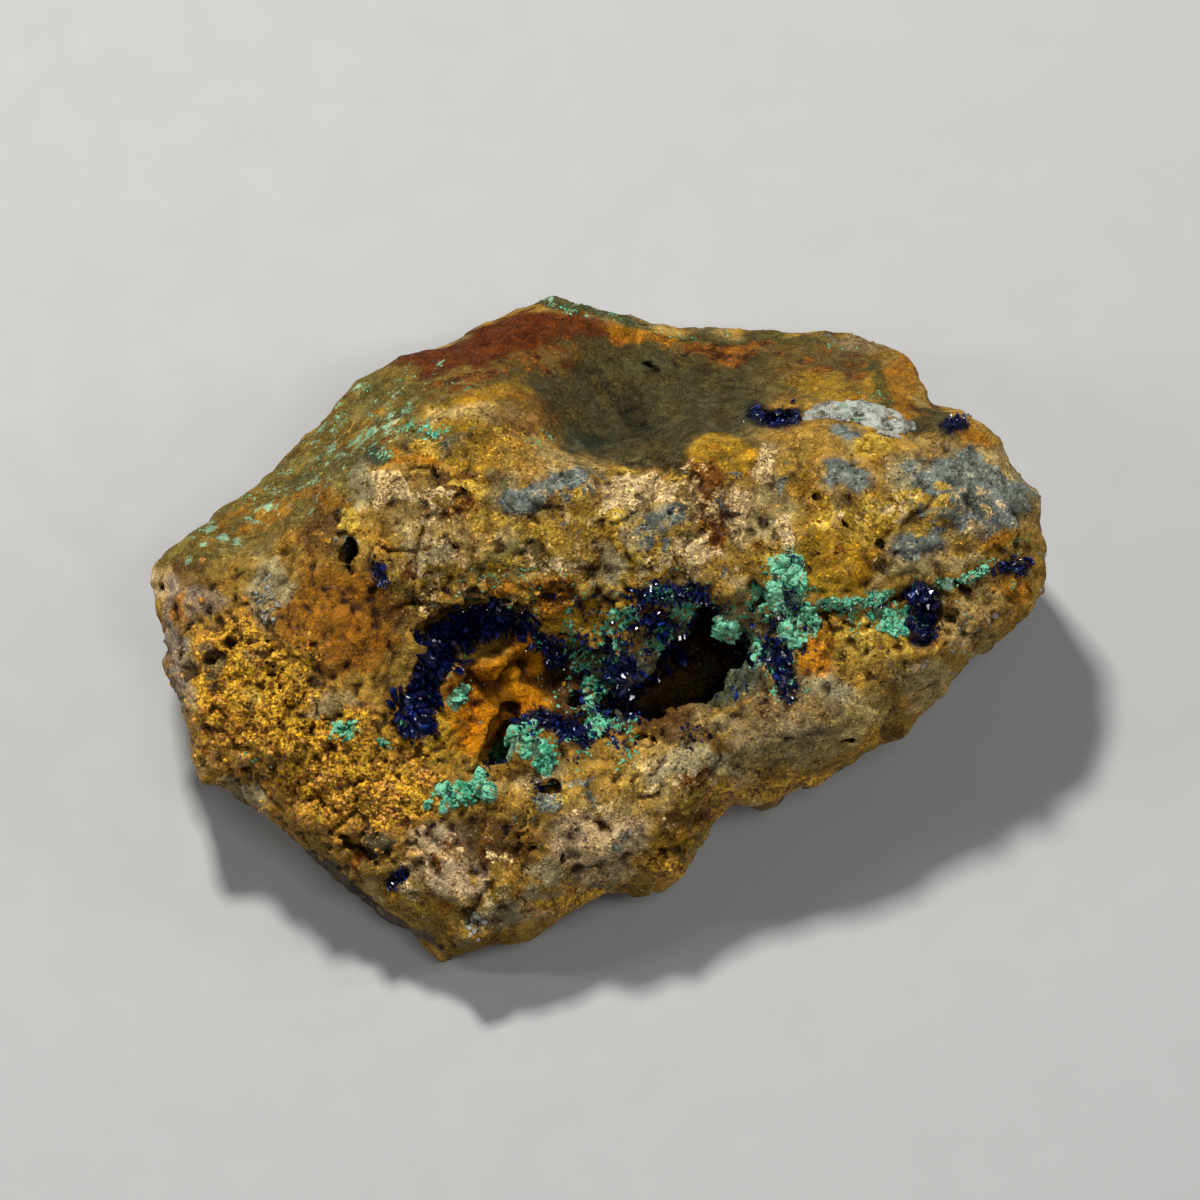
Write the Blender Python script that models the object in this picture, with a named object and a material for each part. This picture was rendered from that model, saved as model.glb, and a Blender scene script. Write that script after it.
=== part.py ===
"""Azurite specimen: a broken lump of limonite gossan with a crystal-lined cavity.

The stone is described in a front-view survey and then laid on its flat broken back.
Survey coordinates: x to the right and y down in tenths of a millimetre, and w, the
depth, in millimetres towards whoever looks at the cavity. The finished part is in
metres with +Z up, the origin at the middle of its footprint on the resting plane.
"""
import math

import bmesh
import bpy
import numpy as np
from mathutils import Vector

# ------------------------------------------------------------------ dimensions
UNIT = 0.1            # one survey unit, mm
X_MID, Y_MID = 600.0, 627.0
LEAN = math.radians(68.0)   # the cavity looks up at this angle above the resting plane
SEAT_Z = 18.0         # height of the survey's middle above the resting plane, mm
SHIFT = (0.182, -4.634)   # moves the footprint's middle to the origin, mm
GAP = 0.35            # clearance between a crystal crust and its socket, mm
SEED_CELLS = 6        # icosphere subdivisions of the blank
MATRIX_FACES = 3700   # triangles of the stone before its sockets are cut

# Outer outline of the stone in the front view, clockwise from the left tip.
OUTLINE = [
    (153, 562), (172, 548), (195, 526), (208, 514), (240, 499), (272, 474), (284, 457),
    (300, 441), (318, 423), (344, 394), (356, 381), (385, 362), (398, 353), (412, 348),
    (452, 339), (466, 330), (484, 323), (505, 317), (522, 309), (540, 300), (552, 296),
    (564, 295), (577, 299), (610, 306), (630, 310), (640, 315), (648, 321), (668, 325),
    (712, 328), (760, 330), (810, 331), (848, 329), (862, 333), (880, 340), (898, 345),
    (908, 355), (914, 366), (918, 378), (923, 390), (929, 404), (936, 409), (960, 409),
    (968, 415), (982, 420), (1002, 440), (1020, 463), (1028, 476), (1036, 487),
    (1041, 500), (1044, 530), (1046, 548), (1048, 575), (1045, 590), (1041, 606),
    (1030, 620), (1022, 633), (998, 643), (985, 650), (970, 664), (955, 680),
    (947, 692), (935, 705), (918, 715), (908, 725), (903, 737), (892, 737), (880, 746),
    (865, 752), (850, 764), (822, 781), (813, 790), (800, 788), (785, 795), (774, 806),
    (760, 811), (736, 806), (724, 815), (715, 825), (711, 838), (702, 852), (694, 864),
    (682, 876), (660, 895), (640, 893), (603, 895), (590, 902), (560, 917), (530, 936),
    (515, 941), (480, 945), (462, 951), (443, 959), (430, 950), (408, 935), (378, 914),
    (345, 890), (315, 862), (286, 833), (255, 808), (228, 786), (218, 782), (207, 784),
    (199, 779), (193, 768), (195, 742), (189, 715), (180, 690), (168, 672), (172, 652),
    (168, 630), (155, 605), (150, 580),
]

# Heights of the front relief, as (x, y, w).
RELIEF = [
    # weathered joint face that slopes away behind the upper edge
    (480, 325, -13), (560, 300, -16), (640, 318, -16.5), (700, 332, -17), (760, 334, -17.5),
    (860, 336, -15), (905, 358, -10), (924, 396, -5), (400, 354, -11), (350, 390, -9),
    (300, 443, -7.5), (250, 492, -6.5), (200, 522, -5.5), (157, 562, -4), (500, 365, -5.5),
    (600, 350, -12), (560, 345, -9.5), (600, 395, -8.5), (650, 385, -10), (640, 425, -6.5),
    (700, 385, -9), (780, 375, -8), (850, 370, -8), (885, 395, -2), (720, 415, -3.5),
    (800, 405, -3), (560, 405, -3.5), (590, 440, -2), (450, 375, -3.5), (400, 400, -3),
    (350, 440, -3), (300, 482, -3.2), (240, 526, -3),
    # the edge between that face and the rough front
    (200, 548, -0.5), (250, 548, 1), (300, 522, 2.5), (340, 498, 3.5), (380, 462, 4),
    (430, 432, 4.3), (480, 412, 3.8), (520, 437, 4.6), (560, 462, 5), (610, 477, 5.6),
    (660, 472, 5.8), (700, 444, 4.6), (760, 440, 4.2), (820, 434, 4.4), (870, 440, 5),
    (920, 442, 4), (960, 422, 1.5), (1000, 446, 0), (1020, 475, 0.8),
    # rough brecciated band above the cavity
    (400, 500, 6), (450, 540, 7), (500, 505, 7.2), (560, 520, 8.2), (620, 530, 8.4),
    (700, 520, 8), (760, 515, 7.6), (840, 500, 8), (840, 562, 8.8), (920, 500, 7.4),
    (980, 500, 5.4), (1036, 520, 0.8), (1041, 570, 0.6), (450, 572, 6), (520, 578, 6.2),
    (600, 576, 7), (680, 578, 7.6), (730, 590, 6.6), (770, 590, 6.5), (840, 594, 7.8),
    (900, 572, 7), (960, 560, 5.8), (1000, 555, 4),
    # boss left of the cavity, and the stepped left end
    (320, 600, 7), (345, 640, 7.6), (300, 655, 6.2), (385, 615, 5.6), (270, 600, 4.6),
    (220, 580, 2.4), (180, 590, 0.6), (158, 592, -2), (200, 640, 2), (240, 690, 4),
    (180, 690, -0.5), (212, 735, 2.6), (200, 775, 0.8), (290, 732, 6.4), (340, 715, 5.6),
    (400, 715, 4.8), (300, 690, 4.8),
    # ochre crust below
    (250, 790, 0.8), (290, 815, 3), (340, 800, 4.6), (400, 800, 5), (340, 856, 2.4),
    (400, 872, 4), (440, 905, 3.8), (382, 905, 0.5), (443, 948, -1.5), (470, 928, 2.8),
    (430, 845, 5.2),
    # lower rim
    (500, 830, 6.4), (560, 845, 6.6), (540, 900, 3.6), (520, 934, 0), (620, 820, 7.2),
    (640, 860, 4.2), (655, 888, 0), (600, 888, 0.2), (690, 785, 7), (704, 838, 1),
    (740, 752, 7.2), (742, 800, 1.4), (800, 732, 7.2), (806, 780, 1.2), (860, 705, 6.8),
    (888, 733, 1.2), (930, 664, 5.6), (936, 698, 1), (980, 630, 4), (985, 646, 0.6),
    (1022, 610, 1.6),
    # trough between band and rim
    (440, 670, 3), (500, 700, 0.5), (540, 640, 2), (600, 650, 2.5), (600, 720, 1),
    (660, 620, 3.2), (700, 680, 1), (760, 640, 3), (820, 640, 4.6), (870, 650, 5.6),
    (900, 620, 4.6), (960, 606, 4.4), (540, 752, 5.6), (480, 785, 5), (640, 752, 5.4),
    (450, 740, 3),
]

# Depth at which the outline is reached, as (x, y, w).
WIDEST = [
    (153, 562, -4), (300, 441, -8), (400, 350, -12), (560, 296, -17), (760, 330, -18),
    (905, 350, -11), (930, 404, -6), (1010, 450, -3), (1046, 550, -2), (1030, 620, -2),
    (955, 680, -1), (880, 746, -0.5), (780, 800, -0.5), (700, 852, -1), (600, 895, -1.5),
    (500, 943, -2), (443, 959, -4), (345, 890, -7), (255, 808, -7), (195, 760, -5),
    (170, 650, -4),
]

# Flat breaks behind the outline: a line (x1, y1)-(x2, y2) that the break meets at the
# widest level, how fast it leans inwards, and the depth in mm where a steeper bevel
# starts (0 for none).
BREAKS = [
    (150, 562, 345, 387, 0.34, 7), (338, 390, 405, 343, 0.10, 0), (405, 343, 562, 291, 0.22, 9),
    (562, 291, 900, 333, 0.12, 0), (882, 331, 1041, 486, 0.30, 10), (1041, 480, 1051, 592, 0.14, 6),
    (1051, 588, 903, 741, 0.26, 0), (903, 740, 663, 898, 0.16, 4), (663, 898, 443, 962, 0.30, 0),
    (443, 962, 203, 788, 0.10, 5), (205, 792, 148, 585, 0.22, 8),
]

# Rounded bosses on the front: (x, y, w, rx, ry, rw).
BOSSES = [
    (334, 622, 1.0, 5.4, 5.2, 7.0), (322, 528, 0.0, 1.7, 2.8, 4.0), (372, 520, 2.5, 2.4, 2.6, 3.6),
    (842, 562, 4.4, 4.2, 4.6, 4.8), (532, 750, 3.4, 3.2, 3.0, 3.6), (491, 664, 0.6, 2.4, 2.1, 3.2),
    (727, 590, 4.6, 1.3, 1.5, 3.4), (205, 768, -0.6, 1.2, 1.5, 2.2), (314, 818, 1.8, 3.3, 1.9, 3.0),
    (372, 868, 1.6, 1.4, 1.3, 2.4), (408, 884, 2.2, 1.1, 1.4, 2.4), (214, 706, 0.6, 2.4, 2.2, 3.4),
    (286, 742, 3.4, 2.4, 2.2, 3.8), (972, 618, 2.2, 2.0, 1.6, 3.2), (1018, 604, -0.6, 1.9, 2.4, 3.0),
    (598, 838, 4.4, 3.6, 2.8, 3.2), (520, 838, 4.2, 2.6, 2.2, 3.4), (470, 928, 0.6, 1.8, 1.6, 3.0),
    (664, 858, 0.6, 2.0, 2.2, 4.2), (446, 600, 4.0, 3.0, 1.8, 3.4), (580, 500, 4.6, 3.4, 3.2, 4.4),
    (706, 500, 4.4, 2.8, 3.6, 4.6), (930, 498, 3.6, 4.4, 4.2, 4.4), (876, 668, 4.0, 3.0, 2.2, 3.2),
]

# Hollows: (x, y, w, rx, ry, rw, turn), radii in mm, turn in degrees in the front view.
HOLLOWS = {
    "cavity": (712, 662, -4, 6.6, 5.0, 9.5, 12),
    "cavity_left": (655, 700, -4, 6.6, 4.3, 8.0, 14),
    "cavity_right": (752, 684, -3, 3.6, 2.3, 6.0, -24),
    "cavity_chimney": (706, 618, 0, 2.0, 4.4, 6.5, 4),
    "alcove": (476, 628, 2.5, 6.4, 3.4, 4.6, 16),
    "alcove_left": (434, 672, 3.5, 2.2, 5.0, 3.0, -22),
    "boss_slot": (502, 742, 0.5, 2.0, 4.6, 6.0, -24),
    "trough": (560, 690, 2.0, 7.5, 5.2, 3.2, 10),
    "left_cleft": (352, 548, 5, 1.5, 4.0, 4.6, -14),
    "right_pocket": (925, 612, 5.5, 2.4, 2.8, 2.6, -20),
}

# Crystal groups: (mineral slot, half width, half thickness, stations (x, y)).
DRUSES = {
    "azurite_left_arc": ("azurite", 1.7, 1.1, [(419, 724), (421, 700), (430, 674), (446, 648), (468, 627), (493, 616)]),
    "azurite_arc_wing": ("azurite", 0.9, 0.8, [(519, 620), (534, 632), (548, 646), (561, 662)]),
    "azurite_roof_fringe": ("azurite", 1.0, 0.9, [(640, 597), (660, 593), (680, 592), (697, 592)]),
    "azurite_curtain": ("azurite", 1.6, 1.0, [(649, 616), (662, 628), (674, 642), (682, 658)]),
    "azurite_cavity_wall": ("azurite", 1.2, 0.9, [(622, 672), (630, 690), (628, 708)]),
    "azurite_boss_crest": ("azurite", 1.0, 0.8, [(526, 724), (544, 718), (566, 724), (584, 738)]),
    "azurite_under_curtain": ("azurite", 1.4, 1.0, [(772, 656), (782, 668), (786, 684)]),
    "azurite_right_pocket": ("azurite", 1.5, 1.0, [(917, 592), (924, 606), (928, 620), (920, 634)]),
    "azurite_seam_end": ("azurite", 0.7, 0.6, [(996, 567), (1010, 565), (1024, 567)]),
    "azurite_top_pocket": ("azurite", 1.3, 0.9, [(758, 414), (774, 418), (792, 416)]),
    "azurite_cleft_spot": ("azurite", 0.8, 0.6, [(373, 568), (381, 576)]),
    "azurite_ball_pocket": ("azurite", 0.6, 0.5, [(391, 884), (402, 873)]),
    "azurite_ledge_spot": ("azurite", 0.8, 0.5, [(948, 425), (962, 424)]),
    "malachite_curtain": ("malachite", 1.9, 1.3, [(789, 571), (783, 589), (790, 608), (796, 624)]),
    "malachite_tongue": ("malachite", 1.4, 1.0, [(730, 630), (745, 640), (757, 652)]),
    "malachite_seam": ("malachite", 0.7, 0.6, [(826, 603), (845, 606), (862, 603), (880, 596)]),
    "malachite_seam_far": ("malachite", 0.5, 0.5, [(940, 583), (957, 581), (975, 574), (985, 569)]),
    "malachite_right_tuft": ("malachite", 1.0, 0.8, [(874, 612), (886, 618), (898, 627)]),
    "malachite_boss_crust": ("malachite", 1.1, 0.8, [(508, 750), (516, 738), (531, 739), (541, 752), (545, 767)]),
    "malachite_floor_buttons": ("malachite", 1.1, 0.9, [(438, 802), (450, 792), (464, 796)]),
    "malachite_floor_button": ("malachite", 0.9, 0.8, [(482, 782), (489, 794)]),
    "malachite_knob": ("malachite", 0.8, 0.6, [(455, 702), (463, 692)]),
    "malachite_cavity_wall": ("malachite", 1.1, 0.8, [(592, 690), (598, 708), (594, 726)]),
    "malachite_left_spray": ("malachite", 0.8, 0.5, [(340, 734), (358, 728)]),
    "malachite_left_spot": ("malachite", 0.6, 0.5, [(379, 741), (388, 747)]),
    "quartz_band": ("quartz", 1.5, 1.1, [(828, 406), (846, 412), (866, 414), (886, 420), (904, 428)]),
}

FINISH = {
    "limonite_matrix": ((0.36, 0.20, 0.06), 0.7),
    "azurite": ((0.01, 0.02, 0.16), 0.15),
    "malachite": ((0.09, 0.42, 0.28), 0.55),
    "quartz": ((0.62, 0.64, 0.60), 0.2),
}


# ------------------------------------------------------------------ survey functions
def to_front(x, y):
    """Survey units to millimetres right and up of the survey's middle."""
    return (x - X_MID) * UNIT, (Y_MID - y) * UNIT


def lay_down(u, v, w):
    """Front-view millimetres to the part's frame: the stone lies on its back."""
    y = v * math.sin(LEAN) - w * math.cos(LEAN)
    z = v * math.cos(LEAN) + w * math.sin(LEAN) + SEAT_Z
    return u + SHIFT[0], y + SHIFT[1], z


def thin_plate(pins):
    """A smooth sheet through (x, y, w) pins; returns a function of u, v in mm."""
    a = np.array([(*to_front(x, y), w) for x, y, w in pins], float)
    p, h = a[:, :2], a[:, 2]

    def kernel(d2):
        return 0.5 * d2 * np.log(d2 + 1e-9)

    n = len(p)
    k = kernel(((p[:, None] - p[None]) ** 2).sum(2)) + 2.0 * np.eye(n)
    q = np.c_[np.ones(n), p]
    m = np.block([[k, q], [q.T, np.zeros((3, 3))]])
    c = np.linalg.solve(m, np.r_[h, np.zeros(3)])

    def sheet(u, v):
        out = c[n] + c[n + 1] * u + c[n + 2] * v
        for i in range(n):
            out = out + c[i] * kernel((u - p[i, 0]) ** 2 + (v - p[i, 1]) ** 2)
        return out

    return sheet


def outline_distance(u, v):
    """Signed distance to the outline in mm, negative inside."""
    p = np.array([to_front(x, y) for x, y in OUTLINE])
    best = np.full(np.shape(u), 1e9)
    inside = np.zeros(np.shape(u), bool)
    for (ax, ay), (bx, by) in zip(p, np.roll(p, -1, 0)):
        ex, ey = bx - ax, by - ay
        t = np.clip(((u - ax) * ex + (v - ay) * ey) / (ex * ex + ey * ey), 0, 1)
        best = np.minimum(best, (u - ax - t * ex) ** 2 + (v - ay - t * ey) ** 2)
        if ey != 0:
            inside ^= ((ay > v) != (by > v)) & (u < ex * (v - ay) / ey + ax)
    return np.where(inside, -1, 1) * np.sqrt(best)


def widest_depth(u, v):
    """Depth at which the flank under (u, v) stands out furthest."""
    top, low = 0.0, 0.0
    for x, y, w in WIDEST:
        a, b = to_front(x, y)
        g = 1.0 / ((u - a) ** 2 + (v - b) ** 2 + 4.0) ** 1.5
        top, low = top + g * w, low + g
    return top / low


relief = thin_plate(RELIEF)


def smooth_max(a, b, k):
    h = np.clip(0.5 + 0.5 * (a - b) / k, 0, 1)
    return b + (a - b) * h + k * h * (1 - h)


def crumble(u, v, w, period, seed):
    """Smooth random lumps between -1 and 1, about one period apart."""
    grid = np.random.default_rng(seed).uniform(-1, 1, (32, 32, 32))
    whole, part = [], []
    for c in (u, v, w):
        c = np.asarray(c, float) / period + 400.0
        i = np.floor(c).astype(int)
        t = c - i
        whole.append(i)
        part.append(t * t * (3 - 2 * t))
    total = 0.0
    for i in (0, 1):
        for j in (0, 1):
            for k in (0, 1):
                share = ((part[0] if i else 1 - part[0]) * (part[1] if j else 1 - part[1])
                         * (part[2] if k else 1 - part[2]))
                total = total + share * grid[(whole[0] + i) % 32, (whole[1] + j) % 32,
                                             (whole[2] + k) % 32]
    return total


def stone(u, v, w):
    """Negative inside the stone before its hollows are taken out, about in mm."""
    cap = (w - relief(u, v)) * 0.75
    for x, y, wc, rx, ry, rw in BOSSES:
        a, b = to_front(x, y)
        r = np.sqrt(((u - a) / rx) ** 2 + ((v - b) / ry) ** 2 + ((w - wc) / rw) ** 2)
        cap = -smooth_max(-cap, -(r - 1) * min(rx, ry, rw), 0.5)
    level = widest_depth(u, v)
    back = np.maximum(0, level - w)
    front = np.maximum(0, w - level)
    flank = outline_distance(u, v) + 0.04 * back + 0.10 * front
    for x1, y1, x2, y2, lean, bevel in BREAKS:
        (a1, b1), (a2, b2) = to_front(x1, y1), to_front(x2, y2)
        long = math.hypot(a2 - a1, b2 - b1)
        out = ((u - a1) * (b1 - b2) + (v - b1) * (a2 - a1)) / long
        flank = smooth_max(flank, (out + lean * back) / math.hypot(1, lean), 0.6)
        if bevel:
            flank = smooth_max(flank, (out + 0.95 * (back - bevel)) * 0.72, 0.6)
    lumps = 0.75 * crumble(u, v, w, 7.0, 11) + 0.4 * crumble(u, v, w, 3.4, 12)
    return smooth_max(cap, flank, 0.8) + lumps * np.clip(1 - 0.5 * np.abs(flank + 0.2) / 1.0, 0.55, 1)


def hollow_at(name, u, v, w):
    """Negative inside a hollow, about in mm."""
    x, y, wc, rx, ry, rw, turn = HOLLOWS[name]
    a, b = to_front(x, y)
    c, s = math.cos(math.radians(turn)), math.sin(math.radians(turn))
    du, dv, dw = u - a, v - b, w - wc
    pu, pv = c * du + s * dv, -s * du + c * dv
    r = np.sqrt((pu / rx) ** 2 + (pv / ry) ** 2 + (dw / rw) ** 2)
    return (r - 1 + 0.10 * crumble(u, v, w, 2.6, 13)) * min(rx, ry, rw)


def carved(u, v, w):
    f = stone(u, v, w)
    for name in HOLLOWS:
        f = np.maximum(f, -hollow_at(name, u, v, w))
    return f


def surface_under(x, y):
    """Depth of the carved front at a survey point."""
    u, v = to_front(x, y)
    w = np.arange(14.0, -16.0, -0.05)
    f = carved(np.full_like(w, u), np.full_like(w, v), w)
    hit = np.nonzero(f < 0)[0]
    return float(w[hit[0]]) if len(hit) else -15.0


# ------------------------------------------------------------------ modelling helpers
def clear_scene():
    for ob in list(bpy.data.objects):
        bpy.data.objects.remove(ob, do_unlink=True)


def material(slot):
    mat = bpy.data.materials.get(slot)
    if mat is None:
        mat = bpy.data.materials.new(slot)
        mat.use_nodes = True
        shader = mat.node_tree.nodes["Principled BSDF"]
        colour, rough = FINISH[slot]
        shader.inputs["Base Color"].default_value = (*colour, 1)
        shader.inputs["Roughness"].default_value = rough
        shader.inputs["Metallic"].default_value = 0.0
    return mat


def add_object(name, bm, slot):
    mesh = bpy.data.meshes.new(name)
    bm.to_mesh(mesh)
    bm.free()
    ob = bpy.data.objects.new(name, mesh)
    bpy.context.scene.collection.objects.link(ob)
    if slot:
        mesh.materials.append(material(slot))
    return ob


def as_cutter(ob):
    ob.hide_render = True
    ob.display_type = "WIRE"
    return ob


def metres(u, v, w):
    return Vector(lay_down(u, v, w)) * 0.001


# ------------------------------------------------------------------ the stone
def stone_blank():
    """An icosphere whose points are moved out to the stone's surface."""
    bm = bmesh.new()
    bmesh.ops.create_icosphere(bm, subdivisions=SEED_CELLS, radius=1.0)
    heart = np.array([*to_front(598, 632), -13.0])
    d = np.array([v.co for v in bm.verts], float)
    d = d * np.array([1.9, 1.25, 1.0])      # more points towards the two ends
    d /= np.linalg.norm(d, axis=1)[:, None]
    low, high = np.zeros(len(d)), np.full(len(d), 62.0)
    march = np.linspace(1.0, 62.0, 90)
    found = np.zeros(len(d), bool)
    for r in march[::-1]:                    # the outermost crossing
        p = heart + d * r
        inside = solid(*p.T) < 0
        new = inside & ~found
        low[new] = r
        high[new] = r + (march[1] - march[0])
        found |= inside
    for _ in range(14):
        mid = (low + high) / 2
        inside = solid(*(heart + d * mid[:, None]).T) < 0
        low = np.where(inside, mid, low)
        high = np.where(inside, high, mid)
    for vert, p in zip(bm.verts, heart + d * low[:, None]):
        vert.co = metres(*p)
    bmesh.ops.recalc_face_normals(bm, faces=bm.faces)
    return bm


def solid(u, v, w):
    """The stone, limited 1 mm below the resting plane, which is then cut flat."""
    z = v * math.cos(LEAN) + w * math.sin(LEAN) + SEAT_Z
    return np.maximum(stone(u, v, w), -(z + 1.0))


def hollow_cutter(name):
    x, y, wc, rx, ry, rw, turn = HOLLOWS[name]
    a, b = to_front(x, y)
    c, s = math.cos(math.radians(turn)), math.sin(math.radians(turn))
    bm = bmesh.new()
    bmesh.ops.create_icosphere(bm, subdivisions=3 if rx * ry > 30 else 2, radius=1.0)
    for vert in bm.verts:
        pu, pv, pw = vert.co.x * rx, vert.co.y * ry, vert.co.z * rw
        p = a + c * pu - s * pv, b + s * pu + c * pv, wc + pw
        swell = 1 - 0.10 * float(crumble(*p, 2.6, 13))
        p = [o + (q - o) * swell for o, q in zip((a, b, wc), p)]
        vert.co = metres(*p)
    bmesh.ops.recalc_face_normals(bm, faces=bm.faces)
    return as_cutter(add_object("cut_" + name, bm, None))


# ------------------------------------------------------------------ crystal crusts
def crust(name, grow):
    """A low closed ridge that follows the stone's surface along its stations.

    Each station is a flattened ring of eight points square to the path, and a point
    closes each end. grow widens every radius, for the socket that holds the crust.
    """
    slot, half_width, half_thick, path = DRUSES[name]
    spots = []
    for x, y in path:
        u, v = to_front(x, y)
        spots.append(np.array([u, v, surface_under(x, y)]))
    depth = [p[2] for p in spots]
    for i in range(1, len(spots) - 1):       # follow the relief without its jumps
        spots[i][2] = (depth[i - 1] + 2 * depth[i] + depth[i + 1]) / 4
    spots = np.array(spots)
    rng = np.random.default_rng(sum(map(ord, name)))
    wobble = rng.uniform(0.86, 1.12, (len(spots), 8))
    rings = []
    for i, p in enumerate(spots):
        along = spots[min(i + 1, len(spots) - 1)] - spots[max(i - 1, 0)]
        along /= np.linalg.norm(along)
        slope = np.zeros(3)
        for k in range(3):
            e = np.zeros(3)
            e[k] = 0.8
            slope[k] = float(carved(*(p + e)[:, None])[0] - carved(*(p - e)[:, None])[0])
        slope += np.array([0, 0, 1.0]) * (0.6 * np.linalg.norm(slope) + 1e-3)
        normal = slope - along * (slope @ along)
        normal /= np.linalg.norm(normal)
        side = np.cross(along, normal)
        taper = 0.78 if i in (0, len(spots) - 1) else 1.0
        centre = p - normal * 0.25 * half_thick
        ring = []
        for j in range(8):
            t = math.pi / 4 * j
            a = (half_width * taper * wobble[i, j] + grow) * math.cos(t)
            b = (half_thick * taper * wobble[i, j] + grow) * math.sin(t)
            ring.append(centre + side * a + normal * b)
        rings.append((centre, along, ring))
    bm = bmesh.new()
    loops = [[bm.verts.new(metres(*q)) for q in ring] for _, _, ring in rings]
    for lower, upper in zip(loops, loops[1:]):
        for j in range(8):
            bm.faces.new((lower[j], lower[(j + 1) % 8], upper[(j + 1) % 8], upper[j]))
    for (centre, along, _), loop, sign in ((rings[0], loops[0], -1), (rings[-1], loops[-1], 1)):
        tip = bm.verts.new(metres(*(centre + along * sign * (0.7 * half_width + grow))))
        for j in range(8):
            bm.faces.new((loop[j], loop[(j + 1) % 8], tip))
    bmesh.ops.recalc_face_normals(bm, faces=bm.faces)
    bmesh.ops.triangulate(bm, faces=bm.faces)
    return bm


def largest_piece(bm):
    """Drops crumbs that the cuts may have left."""
    left, groups = set(bm.verts), []
    while left:
        start = left.pop()
        group, todo = {start}, [start]
        while todo:
            for edge in todo.pop().link_edges:
                for vert in edge.verts:
                    if vert not in group:
                        group.add(vert)
                        todo.append(vert)
        left -= group
        groups.append(group)
    keep = max(groups, key=len)
    bmesh.ops.delete(bm, geom=[v for v in bm.verts if v not in keep], context="VERTS")


def evaluated_bmesh(ob):
    bpy.context.view_layer.update()
    shown = ob.evaluated_get(bpy.context.evaluated_depsgraph_get())
    bm = bmesh.new()
    bm.from_mesh(shown.to_mesh())
    shown.to_mesh_clear()
    return bm


def boolean(ob, cutter):
    mod = ob.modifiers.new("cut", "BOOLEAN")
    mod.operation = "DIFFERENCE"
    mod.solver = "EXACT"
    mod.object = cutter


def build():
    clear_scene()
    blank = add_object("stone_blank", stone_blank(), None)
    cutters = [hollow_cutter(n) for n in HOLLOWS]
    thin = blank.modifiers.new("thin", "DECIMATE")
    thin.ratio = MATRIX_FACES / len(blank.data.polygons)
    for cutter in cutters:
        boolean(blank, cutter)

    # The back is one flat break, on the resting plane.
    bm = evaluated_bmesh(blank)
    largest_piece(bm)
    cut = bmesh.ops.bisect_plane(
        bm, geom=bm.verts[:] + bm.edges[:] + bm.faces[:], dist=1e-7,
        plane_co=(0, 0, 0), plane_no=(0, 0, -1), clear_outer=True)
    rim = [g for g in cut["geom_cut"] if isinstance(g, bmesh.types.BMEdge)]
    for vert in {v for e in rim for v in e.verts}:
        vert.co.z = 0.0
    bmesh.ops.edgenet_fill(bm, edges=rim)
    bmesh.ops.dissolve_degenerate(bm, dist=2e-5, edges=bm.edges)
    bmesh.ops.triangulate(bm, faces=bm.faces)
    bmesh.ops.recalc_face_normals(bm, faces=bm.faces)
    matrix = add_object("matrix", bm, "limonite_matrix")

    for name in DRUSES:
        add_object(name, crust(name, 0.0), DRUSES[name][0])
        socket = as_cutter(add_object("socket_" + name, crust(name, GAP), None))
        boolean(matrix, socket)
    bm = evaluated_bmesh(matrix)
    matrix.modifiers.clear()
    largest_piece(bm)
    bmesh.ops.triangulate(bm, faces=bm.faces)
    bm.to_mesh(matrix.data)
    bm.free()
    for ob in [blank] + [o for o in bpy.data.objects if o.display_type == "WIRE"]:
        bpy.data.objects.remove(ob, do_unlink=True)
    for ob in bpy.data.objects:
        ob.data.shade_smooth()
        ob.data.set_sharp_from_angle(angle=math.radians(35))


build()
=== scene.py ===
"""Azurite specimen: the fine stone, its crystals and granules, on a plain floor.

The stone follows the same front-view survey as its CAD solid. Survey coordinates: x to
the right and y down in tenths of a millimetre, and w, the depth, in millimetres towards
whoever looks at the cavity. Everything is computed in the front frame (u, v, w) in mm
and laid down into the part's frame, in metres, at the end.
"""
import math

import bmesh
import bpy
import numpy as np
from mathutils import Matrix, Vector


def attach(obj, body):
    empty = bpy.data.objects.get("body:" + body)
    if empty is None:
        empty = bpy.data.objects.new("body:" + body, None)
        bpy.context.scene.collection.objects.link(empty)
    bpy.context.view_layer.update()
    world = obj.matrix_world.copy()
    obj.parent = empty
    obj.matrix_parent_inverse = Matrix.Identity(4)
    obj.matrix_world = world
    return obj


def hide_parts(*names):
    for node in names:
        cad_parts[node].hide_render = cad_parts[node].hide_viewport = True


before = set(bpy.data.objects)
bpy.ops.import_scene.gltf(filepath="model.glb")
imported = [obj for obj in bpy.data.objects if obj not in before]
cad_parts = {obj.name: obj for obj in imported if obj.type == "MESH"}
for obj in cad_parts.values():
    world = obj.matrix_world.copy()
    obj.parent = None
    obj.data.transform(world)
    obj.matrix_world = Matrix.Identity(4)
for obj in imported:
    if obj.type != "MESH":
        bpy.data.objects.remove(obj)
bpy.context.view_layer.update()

# ------------------------------------------------------------------ the stone's survey
UNIT = 0.1            # one survey unit, mm
X_MID, Y_MID = 600.0, 627.0
LEAN = math.radians(68.0)   # the cavity looks up at this angle above the resting plane
SEAT_Z = 18.0         # height of the survey's middle above the resting plane, mm
SHIFT = (0.182, -4.634)   # moves the footprint's middle to the origin, mm

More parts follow.
